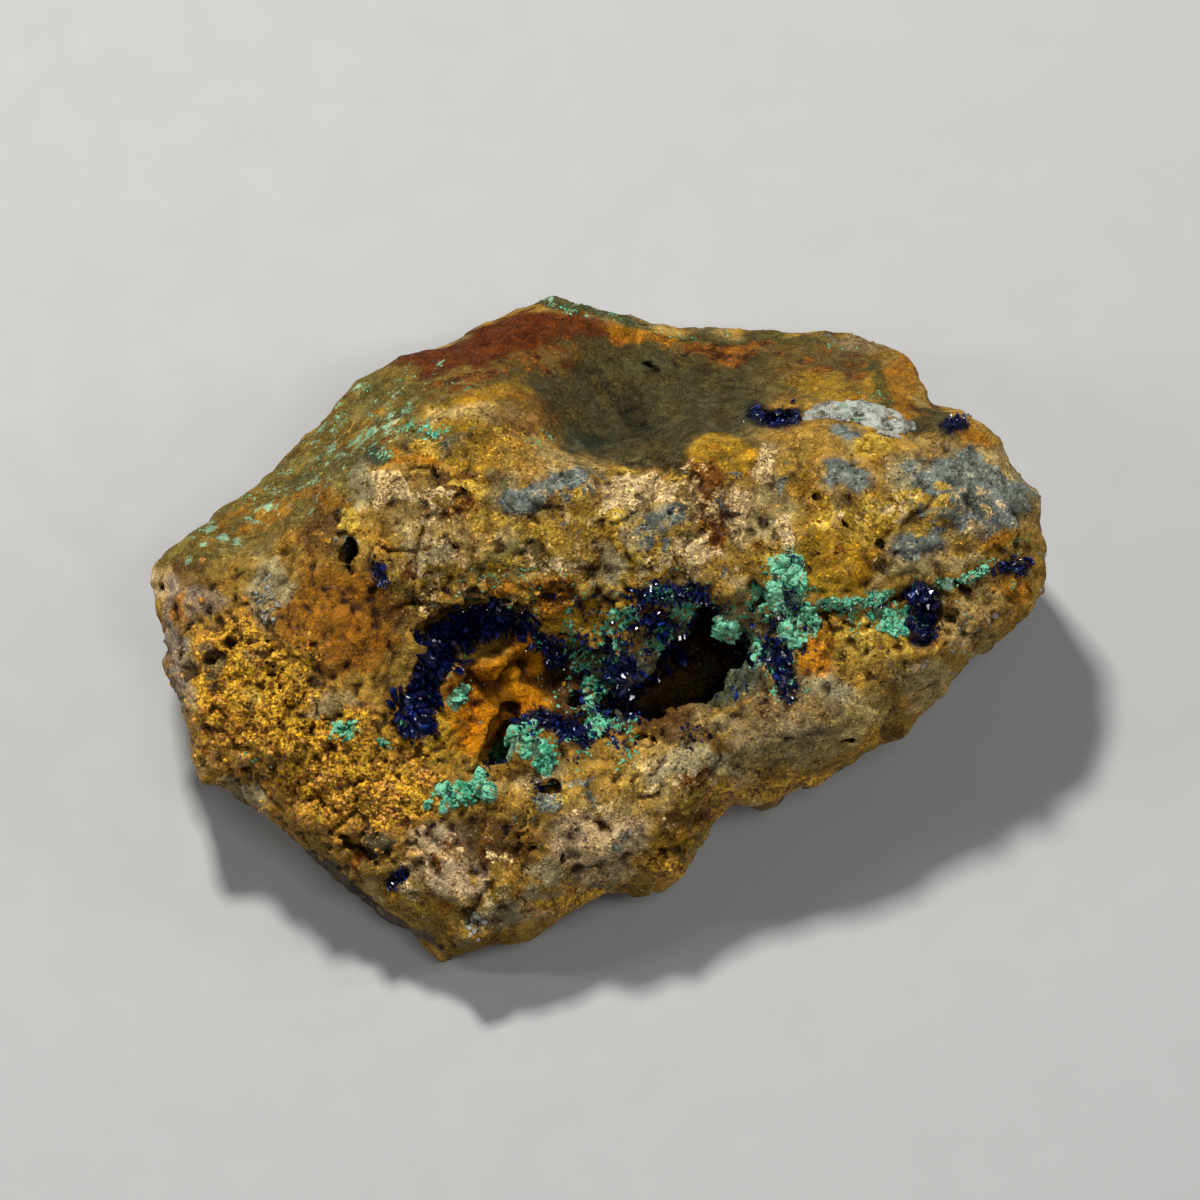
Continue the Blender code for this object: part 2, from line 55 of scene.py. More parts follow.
# Outer outline of the stone in the front view, clockwise from the left tip.
OUTLINE = [
    (153, 562), (172, 548), (195, 526), (208, 514), (240, 499), (272, 474), (284, 457),
    (300, 441), (318, 423), (344, 394), (356, 381), (385, 362), (398, 353), (412, 348),
    (452, 339), (466, 330), (484, 323), (505, 317), (522, 309), (540, 300), (552, 296),
    (564, 295), (577, 299), (610, 306), (630, 310), (640, 315), (648, 321), (668, 325),
    (712, 328), (760, 330), (810, 331), (848, 329), (862, 333), (880, 340), (898, 345),
    (908, 355), (914, 366), (918, 378), (923, 390), (929, 404), (936, 409), (960, 409),
    (968, 415), (982, 420), (1002, 440), (1020, 463), (1028, 476), (1036, 487),
    (1041, 500), (1044, 530), (1046, 548), (1048, 575), (1045, 590), (1041, 606),
    (1030, 620), (1022, 633), (998, 643), (985, 650), (970, 664), (955, 680),
    (947, 692), (935, 705), (918, 715), (908, 725), (903, 737), (892, 737), (880, 746),
    (865, 752), (850, 764), (822, 781), (813, 790), (800, 788), (785, 795), (774, 806),
    (760, 811), (736, 806), (724, 815), (715, 825), (711, 838), (702, 852), (694, 864),
    (682, 876), (660, 895), (640, 893), (603, 895), (590, 902), (560, 917), (530, 936),
    (515, 941), (480, 945), (462, 951), (443, 959), (430, 950), (408, 935), (378, 914),
    (345, 890), (315, 862), (286, 833), (255, 808), (228, 786), (218, 782), (207, 784),
    (199, 779), (193, 768), (195, 742), (189, 715), (180, 690), (168, 672), (172, 652),
    (168, 630), (155, 605), (150, 580),
]

# Heights of the front relief, as (x, y, w).
RELIEF = [
    # weathered joint face that slopes away behind the upper edge
    (480, 325, -13), (560, 300, -16), (640, 318, -16.5), (700, 332, -17), (760, 334, -17.5),
    (860, 336, -15), (905, 358, -10), (924, 396, -5), (400, 354, -11), (350, 390, -9),
    (300, 443, -7.5), (250, 492, -6.5), (200, 522, -5.5), (157, 562, -4), (500, 365, -5.5),
    (600, 350, -12), (560, 345, -9.5), (600, 395, -8.5), (650, 385, -10), (640, 425, -6.5),
    (700, 385, -9), (780, 375, -8), (850, 370, -8), (885, 395, -2), (720, 415, -3.5),
    (800, 405, -3), (560, 405, -3.5), (590, 440, -2), (450, 375, -3.5), (400, 400, -3),
    (350, 440, -3), (300, 482, -3.2), (240, 526, -3),
    # the edge between that face and the rough front
    (200, 548, -0.5), (250, 548, 1), (300, 522, 2.5), (340, 498, 3.5), (380, 462, 4),
    (430, 432, 4.3), (480, 412, 3.8), (520, 437, 4.6), (560, 462, 5), (610, 477, 5.6),
    (660, 472, 5.8), (700, 444, 4.6), (760, 440, 4.2), (820, 434, 4.4), (870, 440, 5),
    (920, 442, 4), (960, 422, 1.5), (1000, 446, 0), (1020, 475, 0.8),
    # rough brecciated band above the cavity
    (400, 500, 6), (450, 540, 7), (500, 505, 7.2), (560, 520, 8.2), (620, 530, 8.4),
    (700, 520, 8), (760, 515, 7.6), (840, 500, 8), (840, 562, 8.8), (920, 500, 7.4),
    (980, 500, 5.4), (1036, 520, 0.8), (1041, 570, 0.6), (450, 572, 6), (520, 578, 6.2),
    (600, 576, 7), (680, 578, 7.6), (730, 590, 6.6), (770, 590, 6.5), (840, 594, 7.8),
    (900, 572, 7), (960, 560, 5.8), (1000, 555, 4),
    # boss left of the cavity, and the stepped left end
    (320, 600, 7), (345, 640, 7.6), (300, 655, 6.2), (385, 615, 5.6), (270, 600, 4.6),
    (220, 580, 2.4), (180, 590, 0.6), (158, 592, -2), (200, 640, 2), (240, 690, 4),
    (180, 690, -0.5), (212, 735, 2.6), (200, 775, 0.8), (290, 732, 6.4), (340, 715, 5.6),
    (400, 715, 4.8), (300, 690, 4.8),
    # ochre crust below
    (250, 790, 0.8), (290, 815, 3), (340, 800, 4.6), (400, 800, 5), (340, 856, 2.4),
    (400, 872, 4), (440, 905, 3.8), (382, 905, 0.5), (443, 948, -1.5), (470, 928, 2.8),
    (430, 845, 5.2),
    # lower rim
    (500, 830, 6.4), (560, 845, 6.6), (540, 900, 3.6), (520, 934, 0), (620, 820, 7.2),
    (640, 860, 4.2), (655, 888, 0), (600, 888, 0.2), (690, 785, 7), (704, 838, 1),
    (740, 752, 7.2), (742, 800, 1.4), (800, 732, 7.2), (806, 780, 1.2), (860, 705, 6.8),
    (888, 733, 1.2), (930, 664, 5.6), (936, 698, 1), (980, 630, 4), (985, 646, 0.6),
    (1022, 610, 1.6),
    # trough between band and rim
    (440, 670, 3), (500, 700, 0.5), (540, 640, 2), (600, 650, 2.5), (600, 720, 1),
    (660, 620, 3.2), (700, 680, 1), (760, 640, 3), (820, 640, 4.6), (870, 650, 5.6),
    (900, 620, 4.6), (960, 606, 4.4), (540, 752, 5.6), (480, 785, 5), (640, 752, 5.4),
    (450, 740, 3),
]

# Depth at which the outline is reached, as (x, y, w).
WIDEST = [
    (153, 562, -4), (300, 441, -8), (400, 350, -12), (560, 296, -17), (760, 330, -18),
    (905, 350, -11), (930, 404, -6), (1010, 450, -3), (1046, 550, -2), (1030, 620, -2),
    (955, 680, -1), (880, 746, -0.5), (780, 800, -0.5), (700, 852, -1), (600, 895, -1.5),
    (500, 943, -2), (443, 959, -4), (345, 890, -7), (255, 808, -7), (195, 760, -5),
    (170, 650, -4),
]

# Flat breaks behind the outline: a line (x1, y1)-(x2, y2) that the break meets at the
# widest level, how fast it leans inwards, and the depth in mm where a steeper bevel
# starts (0 for none).
BREAKS = [
    (150, 562, 345, 387, 0.34, 7), (338, 390, 405, 343, 0.10, 0), (405, 343, 562, 291, 0.22, 9),
    (562, 291, 900, 333, 0.12, 0), (882, 331, 1041, 486, 0.30, 10), (1041, 480, 1051, 592, 0.14, 6),
    (1051, 588, 903, 741, 0.26, 0), (903, 740, 663, 898, 0.16, 4), (663, 898, 443, 962, 0.30, 0),
    (443, 962, 203, 788, 0.10, 5), (205, 792, 148, 585, 0.22, 8),
]

# Rounded bosses on the front: (x, y, w, rx, ry, rw).
BOSSES = [
    (334, 622, 1.0, 5.4, 5.2, 7.0), (322, 528, 0.0, 1.7, 2.8, 4.0), (372, 520, 2.5, 2.4, 2.6, 3.6),
    (842, 562, 4.4, 4.2, 4.6, 4.8), (532, 750, 3.4, 3.2, 3.0, 3.6), (491, 664, 0.6, 2.4, 2.1, 3.2),
    (727, 590, 4.6, 1.3, 1.5, 3.4), (205, 768, -0.6, 1.2, 1.5, 2.2), (314, 818, 1.8, 3.3, 1.9, 3.0),
    (372, 868, 1.6, 1.4, 1.3, 2.4), (408, 884, 2.2, 1.1, 1.4, 2.4), (214, 706, 0.6, 2.4, 2.2, 3.4),
    (286, 742, 3.4, 2.4, 2.2, 3.8), (972, 618, 2.2, 2.0, 1.6, 3.2), (1018, 604, -0.6, 1.9, 2.4, 3.0),
    (598, 838, 4.4, 3.6, 2.8, 3.2), (520, 838, 4.2, 2.6, 2.2, 3.4), (470, 928, 0.6, 1.8, 1.6, 3.0),
    (664, 858, 0.0, 2.8, 2.6, 3.2), (446, 600, 3.4, 2.6, 1.2, 2.8), (580, 500, 4.6, 3.4, 3.2, 4.4),
    (706, 500, 4.4, 2.8, 3.6, 4.6), (930, 498, 3.6, 4.4, 4.2, 4.4), (876, 668, 4.0, 3.0, 2.2, 3.2),
]

# Hollows: (x, y, w, rx, ry, rw, turn), radii in mm, turn in degrees in the front view.
HOLLOWS = {
    "cavity": (707, 664, -4, 6.3, 5.2, 10.0, 12),
    "cavity_left": (655, 700, -4, 6.6, 4.3, 8.0, 14),
    "cavity_right": (752, 684, -3, 3.6, 2.3, 6.0, -24),
    "cavity_chimney": (706, 618, 0, 2.0, 4.4, 6.5, 4),
    "alcove": (476, 628, 2.5, 6.4, 3.4, 4.6, 16),
    "alcove_left": (434, 672, 3.5, 2.2, 5.0, 3.0, -22),
    "boss_slot": (502, 742, 0.5, 2.0, 4.6, 6.0, -24),
    "trough": (560, 690, 2.0, 7.5, 5.2, 3.2, 10),
    "left_cleft": (350, 556, 5, 0.9, 2.4, 3.0, -8),
    "right_pocket": (925, 612, 5.5, 2.4, 2.8, 2.6, -20),
}

# Crystal groups: (mineral slot, half width, half thickness, stations (x, y)).
DRUSES = {
    "azurite_left_arc": ("azurite", 1.7, 1.1, [(419, 724), (421, 700), (430, 674), (446, 648), (468, 627), (493, 616)]),
    "azurite_arc_wing": ("azurite", 0.9, 0.8, [(519, 620), (534, 632), (548, 646), (561, 662)]),
    "azurite_roof_fringe": ("azurite", 1.0, 0.9, [(640, 597), (660, 593), (680, 592), (697, 592)]),
    "azurite_curtain": ("azurite", 1.6, 1.0, [(649, 616), (662, 628), (674, 642), (682, 658)]),
    "azurite_cavity_wall": ("azurite", 1.2, 0.9, [(622, 672), (630, 690), (628, 708)]),
    "azurite_boss_crest": ("azurite", 1.0, 0.8, [(526, 724), (544, 718), (566, 724), (584, 738)]),
    "azurite_under_curtain": ("azurite", 1.4, 1.0, [(772, 656), (782, 668), (786, 684)]),
    "azurite_right_pocket": ("azurite", 1.5, 1.0, [(917, 592), (924, 606), (928, 620), (920, 634)]),
    "azurite_seam_end": ("azurite", 0.7, 0.6, [(996, 567), (1010, 565), (1024, 567)]),
    "azurite_top_pocket": ("azurite", 1.3, 0.9, [(758, 414), (774, 418), (792, 416)]),
    "azurite_cleft_spot": ("azurite", 0.8, 0.6, [(373, 568), (381, 576)]),
    "azurite_ball_pocket": ("azurite", 0.6, 0.5, [(391, 884), (402, 873)]),
    "azurite_ledge_spot": ("azurite", 0.8, 0.5, [(948, 425), (962, 424)]),
    "malachite_curtain": ("malachite", 1.9, 1.3, [(789, 571), (783, 589), (790, 608), (796, 624)]),
    "malachite_tongue": ("malachite", 1.4, 1.0, [(730, 630), (745, 640), (757, 652)]),
    "malachite_seam": ("malachite", 0.7, 0.6, [(826, 603), (845, 606), (862, 603), (880, 596)]),
    "malachite_seam_far": ("malachite", 0.5, 0.5, [(940, 583), (957, 581), (975, 574), (985, 569)]),
    "malachite_right_tuft": ("malachite", 1.0, 0.8, [(874, 612), (886, 618), (898, 627)]),
    "malachite_boss_crust": ("malachite", 1.1, 0.8, [(508, 750), (516, 738), (531, 739), (541, 752), (545, 767)]),
    "malachite_floor_buttons": ("malachite", 1.1, 0.9, [(438, 802), (450, 792), (464, 796)]),
    "malachite_floor_button": ("malachite", 0.9, 0.8, [(482, 782), (489, 794)]),
    "malachite_knob": ("malachite", 0.8, 0.6, [(455, 702), (463, 692)]),
    "malachite_cavity_wall": ("malachite", 1.1, 0.8, [(592, 690), (598, 708), (594, 726)]),
    "malachite_left_spray": ("malachite", 0.8, 0.5, [(340, 734), (358, 728)]),
    "malachite_left_spot": ("malachite", 0.6, 0.5, [(379, 741), (388, 747)]),
    "quartz_band": ("quartz", 1.5, 1.1, [(828, 406), (846, 412), (866, 414), (886, 420), (904, 428)]),
}

STEP = 0.31           # lattice spacing of the fine stone, mm
STONE_TRIS = 194000   # triangles the fine stone is thinned to
SIN, COS = math.sin(LEAN), math.cos(LEAN)

# ------------------------------------------------------------------ frames
def to_front(x, y):
    """Survey units to millimetres right and up of the survey's middle."""
    return (x - X_MID) * UNIT, (Y_MID - y) * UNIT


def lay_down(p):
    """Front-frame points, mm, to the part's frame, metres."""
    p = np.asarray(p, float)
    u, v, w = p[..., 0], p[..., 1], p[..., 2]
    return np.stack([u + SHIFT[0], v * SIN - w * COS + SHIFT[1], v * COS + w * SIN + SEAT_Z],
                    -1) * 0.001


def stand_up(q):
    """The part's frame, metres, to the front frame, mm."""
    q = np.asarray(q, float) * 1000
    u, y, z = q[..., 0] - SHIFT[0], q[..., 1] - SHIFT[1], q[..., 2] - SEAT_Z
    return np.stack([u, y * SIN + z * COS, -y * COS + z * SIN], -1)


def turn_up(n):
    """A direction in the part's frame, in the front frame."""
    return np.stack([n[..., 0], n[..., 1] * SIN + n[..., 2] * COS,
                     -n[..., 1] * COS + n[..., 2] * SIN], -1)


# ------------------------------------------------------------------ random lumps
TABLES = {}


def crumble(p, period, seed):
    """Smooth random lumps between -1 and 1, about one period apart, at points p."""
    if seed not in TABLES:
        TABLES[seed] = np.random.default_rng(seed).uniform(-1, 1, (32, 32, 32))
    grid = TABLES[seed].ravel()
    q = np.asarray(p, float) / period + 400.0
    i = np.floor(q).astype(np.int64)
    t = q - i
    t = t * t * (3 - 2 * t)
    i &= 31
    j = (i + 1) & 31
    x0, x1 = i[:, 0] * 1024, j[:, 0] * 1024
    y0, y1 = i[:, 1] * 32, j[:, 1] * 32
    z0, z1 = i[:, 2], j[:, 2]
    a, b, c = t[:, 0], t[:, 1], t[:, 2]
    low = (grid[x0 + y0 + z0] * (1 - a) + grid[x1 + y0 + z0] * a) * (1 - b) + \
          (grid[x0 + y1 + z0] * (1 - a) + grid[x1 + y1 + z0] * a) * b
    top = (grid[x0 + y0 + z1] * (1 - a) + grid[x1 + y0 + z1] * a) * (1 - b) + \
          (grid[x0 + y1 + z1] * (1 - a) + grid[x1 + y1 + z1] * a) * b
    return low * (1 - c) + top * c


def fractal(p, period, seed, octaves=3, gain=0.5):
    total, size, norm = 0.0, 1.0, 0.0
    for k in range(octaves):
        total = total + size * crumble(p, period / 2.03 ** k, seed + 37 * k)
        norm += size
        size *= gain
    return total / norm


def cells(p, period, seed):
    """Scattered cells about one period apart: distance to the nearest centre, the extra
    distance to the next one, the offset from the nearest and its four random numbers."""
    rng = np.random.default_rng(seed)
    jitter = rng.random((16, 16, 16, 3)).astype(np.float32).reshape(-1, 3)
    facts = rng.random((16, 16, 16, 4))
    q = (np.asarray(p, float) / period + 160.0).astype(np.float32)
    base = np.floor(q).astype(np.int32)
    first = np.full(len(q), 1e9, np.float32)
    second = np.full(len(q), 1e9, np.float32)
    offset = np.zeros((len(q), 3), np.float32)
    own = np.zeros(len(q), np.int32)
    for dx in (-1, 0, 1):
        for dy in (-1, 0, 1):
            for dz in (-1, 0, 1):
                c = base + np.array((dx, dy, dz), np.int32)
                m = c & 15
                key = (m[:, 0] * 16 + m[:, 1]) * 16 + m[:, 2]
                d = q - c.astype(np.float32) - jitter[key]
                r = np.sqrt((d * d).sum(1))
                near = r < first
                second = np.where(near, first, np.minimum(second, r))
                first = np.where(near, r, first)
                offset[near] = d[near]
                own[near] = key[near]
    return first, second - first, offset, facts.reshape(-1, 4)[own]


def step_up(a, b, t):
    t = np.clip((t - a) / (b - a), 0, 1)
    return t * t * (3 - 2 * t)


def smooth_max(a, b, k):
    h = np.clip(0.5 + 0.5 * (a - b) / k, 0, 1)
    return b + (a - b) * h + k * h * (1 - h)


# ------------------------------------------------------------------ the stone's shape
def thin_plate(pins):
    a = np.array([(*to_front(x, y), w) for x, y, w in pins], float)
    p, h = a[:, :2], a[:, 2]

    def kernel(d2):
        return 0.5 * d2 * np.log(d2 + 1e-9)

    n = len(p)
    k = kernel(((p[:, None] - p[None]) ** 2).sum(2)) + 2.0 * np.eye(n)
    q = np.c_[np.ones(n), p]
    m = np.block([[k, q], [q.T, np.zeros((3, 3))]])
    c = np.linalg.solve(m, np.r_[h, np.zeros(3)])

    def sheet(u, v):
        out = c[n] + c[n + 1] * u + c[n + 2] * v
        for i in range(n):
            out = out + c[i] * kernel((u - p[i, 0]) ** 2 + (v - p[i, 1]) ** 2)
        return out

    return sheet


def outline_distance(u, v):
    p = np.array([to_front(x, y) for x, y in OUTLINE])
    best = np.full(np.shape(u), 1e9)
    inside = np.zeros(np.shape(u), bool)
    for (ax, ay), (bx, by) in zip(p, np.roll(p, -1, 0)):
        ex, ey = bx - ax, by - ay
        t = np.clip(((u - ax) * ex + (v - ay) * ey) / (ex * ex + ey * ey), 0, 1)
        best = np.minimum(best, (u - ax - t * ex) ** 2 + (v - ay - t * ey) ** 2)
        if ey != 0:
            inside ^= ((ay > v) != (by > v)) & (u < ex * (v - ay) / ey + ax)
    return np.where(inside, -1, 1) * np.sqrt(best)


def widest_depth(u, v):
    top, low = 0.0, 0.0
    for x, y, w in WIDEST:
        a, b = to_front(x, y)
        g = 1.0 / ((u - a) ** 2 + (v - b) ** 2 + 4.0) ** 1.5
        top, low = top + g * w, low + g
    return top / low


def spot(x, y, cx, cy, rx, ry, turn=0.0, soft=0.3):
    """1 inside an ellipse of the front view, fading to 0 across its edge."""
    c, s = math.cos(math.radians(turn)), math.sin(math.radians(turn))
    dx, dy = x - cx, cy - y
    r = np.sqrt(((c * dx + s * dy) / rx) ** 2 + ((-s * dx + c * dy) / ry) ** 2)
    return step_up(1 + soft, 1 - soft, r)


# How the surface is broken up, as (x, y, rx, ry, turn, kind, amount).
TEXTURE = [
    (620, 395, 300, 80, 2, "smooth", 1.0), (290, 465, 190, 60, 36, "smooth", 0.9),
    (452, 434, 80, 30, -6, "breccia", 0.9), (690, 520, 360, 62, 2, "breccia", 1.0), (430, 530, 110, 60, 0, "breccia", 1.0),
    (335, 620, 62, 62, 0, "pitted", 0.9), (230, 690, 80, 110, 0, "nodular", 1.0),
    (330, 780, 120, 70, -30, "nodular", 1.0), (420, 760, 90, 60, 0, "nodular", 0.8),
    (530, 660, 60, 60, -40, "smooth", 0.85), (480, 715, 40, 40, 0, "smooth", 0.6),
    (600, 830, 180, 70, 12, "breccia", 0.9), (800, 730, 140, 60, 22, "breccia", 0.5),
    (860, 640, 90, 34, 10, "nodular", 0.6), (985, 605, 50, 46, 20, "nodular", 0.5),
    (440, 600, 50, 26, 0, "breccia", 0.9), (170, 600, 26, 60, 10, "pitted", 0.7),
    (690, 680, 110, 70, 10, "nodular", 0.8), (480, 880, 90, 50, 20, "breccia", 0.8), (668, 856, 34, 28, 0, "nodular", 0.8), (560, 600, 115, 20, 0, "nodular", 0.8),
]

# Small holes and pits: (x, y, rx, ry, depth, turn), in survey units and mm.
PITS = [
    (346, 536, 6, 10, 1.3, 20), (337, 516, 5, 9, 1.0, 24), (352, 572, 3, 9, 1.8, -6),
    (420, 470, 20, 3, 0.8, -14),
    (233, 640, 15, 6, 1.9, 10), (816, 501, 6, 9, 1.7, 12), (843, 524, 12, 5, 1.9, -42),
    (881, 543, 4, 8, 2.5, 20), (648, 365, 11, 4, 1.6, -15), (757, 598, 7, 16, 3.5, 0),
    (832, 612, 24, 5, 2.0, -8), (400, 876, 11, 6, 2.0, 40), (847, 741, 8, 4, 2.0, 20),
    (561, 858, 4, 4, 1.6, 0), (552, 787, 13, 6, 3.2, 5), (777, 416, 17, 9, 2.4, 0),
    (606, 650, 9, 14, 2.6, 0), (574, 700, 9, 12, 2.2, 0), (640, 737, 20, 7, 2.4, 8),
    (900, 596, 20, 5, 2.0, 10), 
    (356, 848, 20, 5, 1.6, -30), (322, 802, 11, 4, 1.4, -30), (950, 622, 8, 10, 1.8, 0),
    (215, 655, 12, 8, 1.4, 0), (424, 720, 6, 16, 2.0, 0),
]


def texture_map(kind, x, y):
    m = np.zeros(np.shape(x))
    for cx, cy, rx, ry, turn, k, amount in TEXTURE:
        s = amount * spot(x, y, cx, cy, rx, ry, turn)
        m = m + (1 - m) * s if k == kind else m * (1 - 0.7 * s)
    return m


def sculpt():
    """The stone as a signed field on a lattice: the survey's form with its fine relief."""
    us = np.arange(-45.6, 45.6, STEP)
    vs = np.arange(-34.6, 34.6, STEP)
    ws = np.arange(-33.6, 12.0, STEP)
    u, v = np.meshgrid(us, vs, indexing="ij")
    x, y = X_MID + u / UNIT, Y_MID - v / UNIT
    sheet = thin_plate(RELIEF)(u, v)
    edge, level = outline_distance(u, v), widest_depth(u, v)
    faces = []
    for x1, y1, x2, y2, lean, bevel in BREAKS:
        (a1, b1), (a2, b2) = to_front(x1, y1), to_front(x2, y2)
        long = math.hypot(a2 - a1, b2 - b1)
        faces.append((((u - a1) * (b1 - b2) + (v - b1) * (a2 - a1)) / long, lean, bevel))
    body = np.full((len(us), len(vs), len(ws)), 9.0, np.float32)
    void = np.full_like(body, -9.0)
    rim = np.zeros_like(body)
    for k, w in enumerate(ws):
        cap = (w - sheet) * 0.75
        for cx, cy, wc, rx, ry, rw in BOSSES:
            if abs(w - wc) > rw + 2:
                continue
            a, b = to_front(cx, cy)
            r = np.sqrt(((u - a) / rx) ** 2 + ((v - b) / ry) ** 2 + ((w - wc) / rw) ** 2)
            cap = -smooth_max(-cap, -(r - 1) * min(rx, ry, rw), 0.5)
        back, front = np.maximum(0, level - w), np.maximum(0, w - level)
        flank = edge + 0.04 * back + 0.10 * front
        for out, lean, bevel in faces:
            flank = smooth_max(flank, (out + lean * back) / math.hypot(1, lean), 0.6)
            if bevel:
                flank = smooth_max(flank, (out + 0.95 * (back - bevel)) * 0.72, 0.6)
        body[:, :, k] = smooth_max(cap, flank, 0.8)
        rim[:, :, k] = np.clip(1 - 0.5 * np.abs(flank + 0.2), 0.55, 1)
        for cx, cy, wc, rx, ry, rw, turn in HOLLOWS.values():
            if abs(w - wc) > rw + 1.5:
                continue
            a, b = to_front(cx, cy)
            c, s = math.cos(math.radians(turn)), math.sin(math.radians(turn))
            du, dv = u - a, v - b
            r = np.sqrt(((c * du + s * dv) / rx) ** 2 + ((-s * du + c * dv) / ry) ** 2
                        + ((w - wc) / rw) ** 2)
            void[:, :, k] = np.maximum(void[:, :, k], (1 - r) * min(rx, ry, rw))

    near = np.nonzero((body < 2.6) & ((body > -2.6) | (void > -1.6)))
    p = np.stack([us[near[0]], vs[near[1]], ws[near[2]]], 1)
    stone, hollow = body[near].astype(float), void[near].astype(float)
    stone += (0.75 * crumble(p, 7.0, 11) + 0.4 * crumble(p, 3.4, 12)) * rim[near]
    hollow -= 0.45 * crumble(p, 2.6, 13) + 0.40 * crumble(p, 1.3, 14)
    kinds = {k: texture_map(k, x, y)[near[0], near[1]] for k in
             ("smooth", "breccia", "nodular", "pitted")}
    ahead = step_up(-3.0, 1.0, p[:, 2] - level[near[0], near[1]])
    for k in kinds:
        kinds[k] = kinds[k] * ahead
    kinds["breccia"] += 0.75 * (1 - ahead)
    shut = (np.abs(stone) < 1.6) | (np.abs(hollow) < 1.6)
    q = p[shut]
    k = {n: m[shut] for n, m in kinds.items()}
    calm = 1 - 0.8 * k["smooth"]
    chips, knobs, seams = np.zeros((3, len(q)))
    at = k["nodular"] < 0.97
    r = q[at]
    bent = r + 0.9 * np.stack([crumble(r, 2.4, n) for n in (21, 27, 28)], 1)
    _, _, off1, fact1 = cells(bent, 3.6, 31)
    _, _, off2, fact2 = cells(r + 0.25 * crumble(r, 1.0, 29)[:, None], 1.3, 32)
    chips[at] = 0.55 * (fact1[:, 0] - 0.5) + 1.4 * (off1 * (fact1[:, 1:4] - 0.5)).sum(1) \
        + 0.12 * (fact2[:, 0] - 0.5) + 0.30 * (off2 * (fact2[:, 1:4] - 0.5)).sum(1)
    rugged = 0.44 * fractal(q, 2.6, 30, 4, 0.56)
    crease = -0.55 * step_up(0.10, 0.02, np.abs(crumble(q, 5.2, 35) + 0.25 * crumble(q, 1.6, 36))) \
        * step_up(0.0, 0.4, crumble(q, 4.0, 37))
    at = k["nodular"] > 0.004
    r = q[at]
    near3, gap3, _, fact3 = cells(r + 0.8 * np.stack([crumble(r, 1.8, n) for n in (22, 40, 41)], 1), 3.0, 33)
    near4, gap4, _, fact4 = cells(r + 0.4 * crumble(r, 0.9, 34)[:, None], 1.35, 39)
    knobs[at] = 0.80 * (0.5 - near3 ** 2) * (0.20 + 1.5 * fact3[:, 0]) + 0.26 * (0.5 - near4 ** 2) * (0.3 + fact4[:, 0])
    seams[at] = -0.60 * step_up(0.16, 0.02, gap3) * step_up(-0.3, 0.4, crumble(r, 3.0, 42)) - 0.20 * step_up(0.16, 0.02, gap4)
    folds = 0.36 * (1 - 2.4 * np.abs(fractal(q, 1.5, 38, 3)))
    holes = -0.6 * step_up(0.34, 0.75, crumble(q, 1.9, 23)) - 0.34 * step_up(0.3, 0.8, crumble(q, 0.95, 24))
    fine = 0.14 * crumble(q, 1.25, 25) + 0.09 * crumble(q, 0.72, 26)
    rise = (k["breccia"] * (0.40 * chips + 0.72 * rugged + 0.8 * crease + 0.20 * holes)
            + k["nodular"] * (knobs + folds + seams + 0.12 * holes + 0.35 * rugged)
            + k["pitted"] * (0.9 * holes + 0.6 * rugged + 0.2 * chips)
            + calm * fine * 1.1 + k["smooth"] * (0.5 * fine + 0.12 * rugged)
            + (1 - k["breccia"]) * (1 - k["nodular"]) * calm * (0.35 * chips + 0.75 * rugged + 0.5 * folds))
    stone[shut] -= rise
    edgy = (rim[near][shut] - 0.55) / 0.45
    rise += 0.20 * edgy * fractal(q, 1.2, 44, 2)
    hollow[shut] += -0.6 * rise - 0.35 * knobs - 0.5 * rugged
    body[near] = stone
    void[near] = hollow
    body = np.maximum(body, void)

    # pits, sunk from the surface that a look straight at the front meets
    solid = body < 0
    deep = solid.shape[2] - 1 - solid[:, :, ::-1].argmax(2)
    shown = np.where(solid.any(2), ws[deep], -40.0)
    for cx, cy, rx, ry, depth, turn in PITS:
        a, b = to_front(cx, cy)
        r = max(rx, ry) * UNIT + 1.2
        iu = np.nonzero(np.abs(us - a) < r)[0]
        iv = np.nonzero(np.abs(vs - b) < r)[0]
        if not len(iu) or not len(iv):
            continue
        top = shown[np.argmin(np.abs(us - a)), np.argmin(np.abs(vs - b))]
        kw = np.nonzero(np.abs(ws - top) < depth + 3)[0]
        g = np.meshgrid(us[iu] - a, vs[iv] - b, ws[kw] - (top + 0.4), indexing="ij")
        c, s = math.cos(math.radians(turn)), math.sin(math.radians(turn))
        pts = np.stack([g[0] + a, g[1] + b, g[2] + top], -1).reshape(-1, 3)
        bend = 0.85 * np.stack([fractal(pts, 1.5, n, 3) for n in (55, 56)], 1)
        g[0] = g[0] + bend[:, 0].reshape(g[0].shape)
        g[1] = g[1] + bend[:, 1].reshape(g[1].shape)
        wob = 0.75 * fractal(pts, 0.9, 57, 2).reshape(g[0].shape)
        r = np.sqrt(((c * g[0] + s * g[1]) / (rx * UNIT)) ** 2
                    + ((-s * g[0] + c * g[1]) / (ry * UNIT)) ** 2 + (g[2] / (depth + 0.4)) ** 2)
        cut = (1 - r + wob) * min(rx, ry) * UNIT * 1.2
        box = np.ix_(iu, iv, kw)
        body[box] = np.maximum(body[box], cut)

    height = (v[:, :, None] * COS + ws[None, None, :] * SIN + SEAT_Z)
    body = np.maximum(body, -height.astype(np.float32))
    return us, vs, ws, body


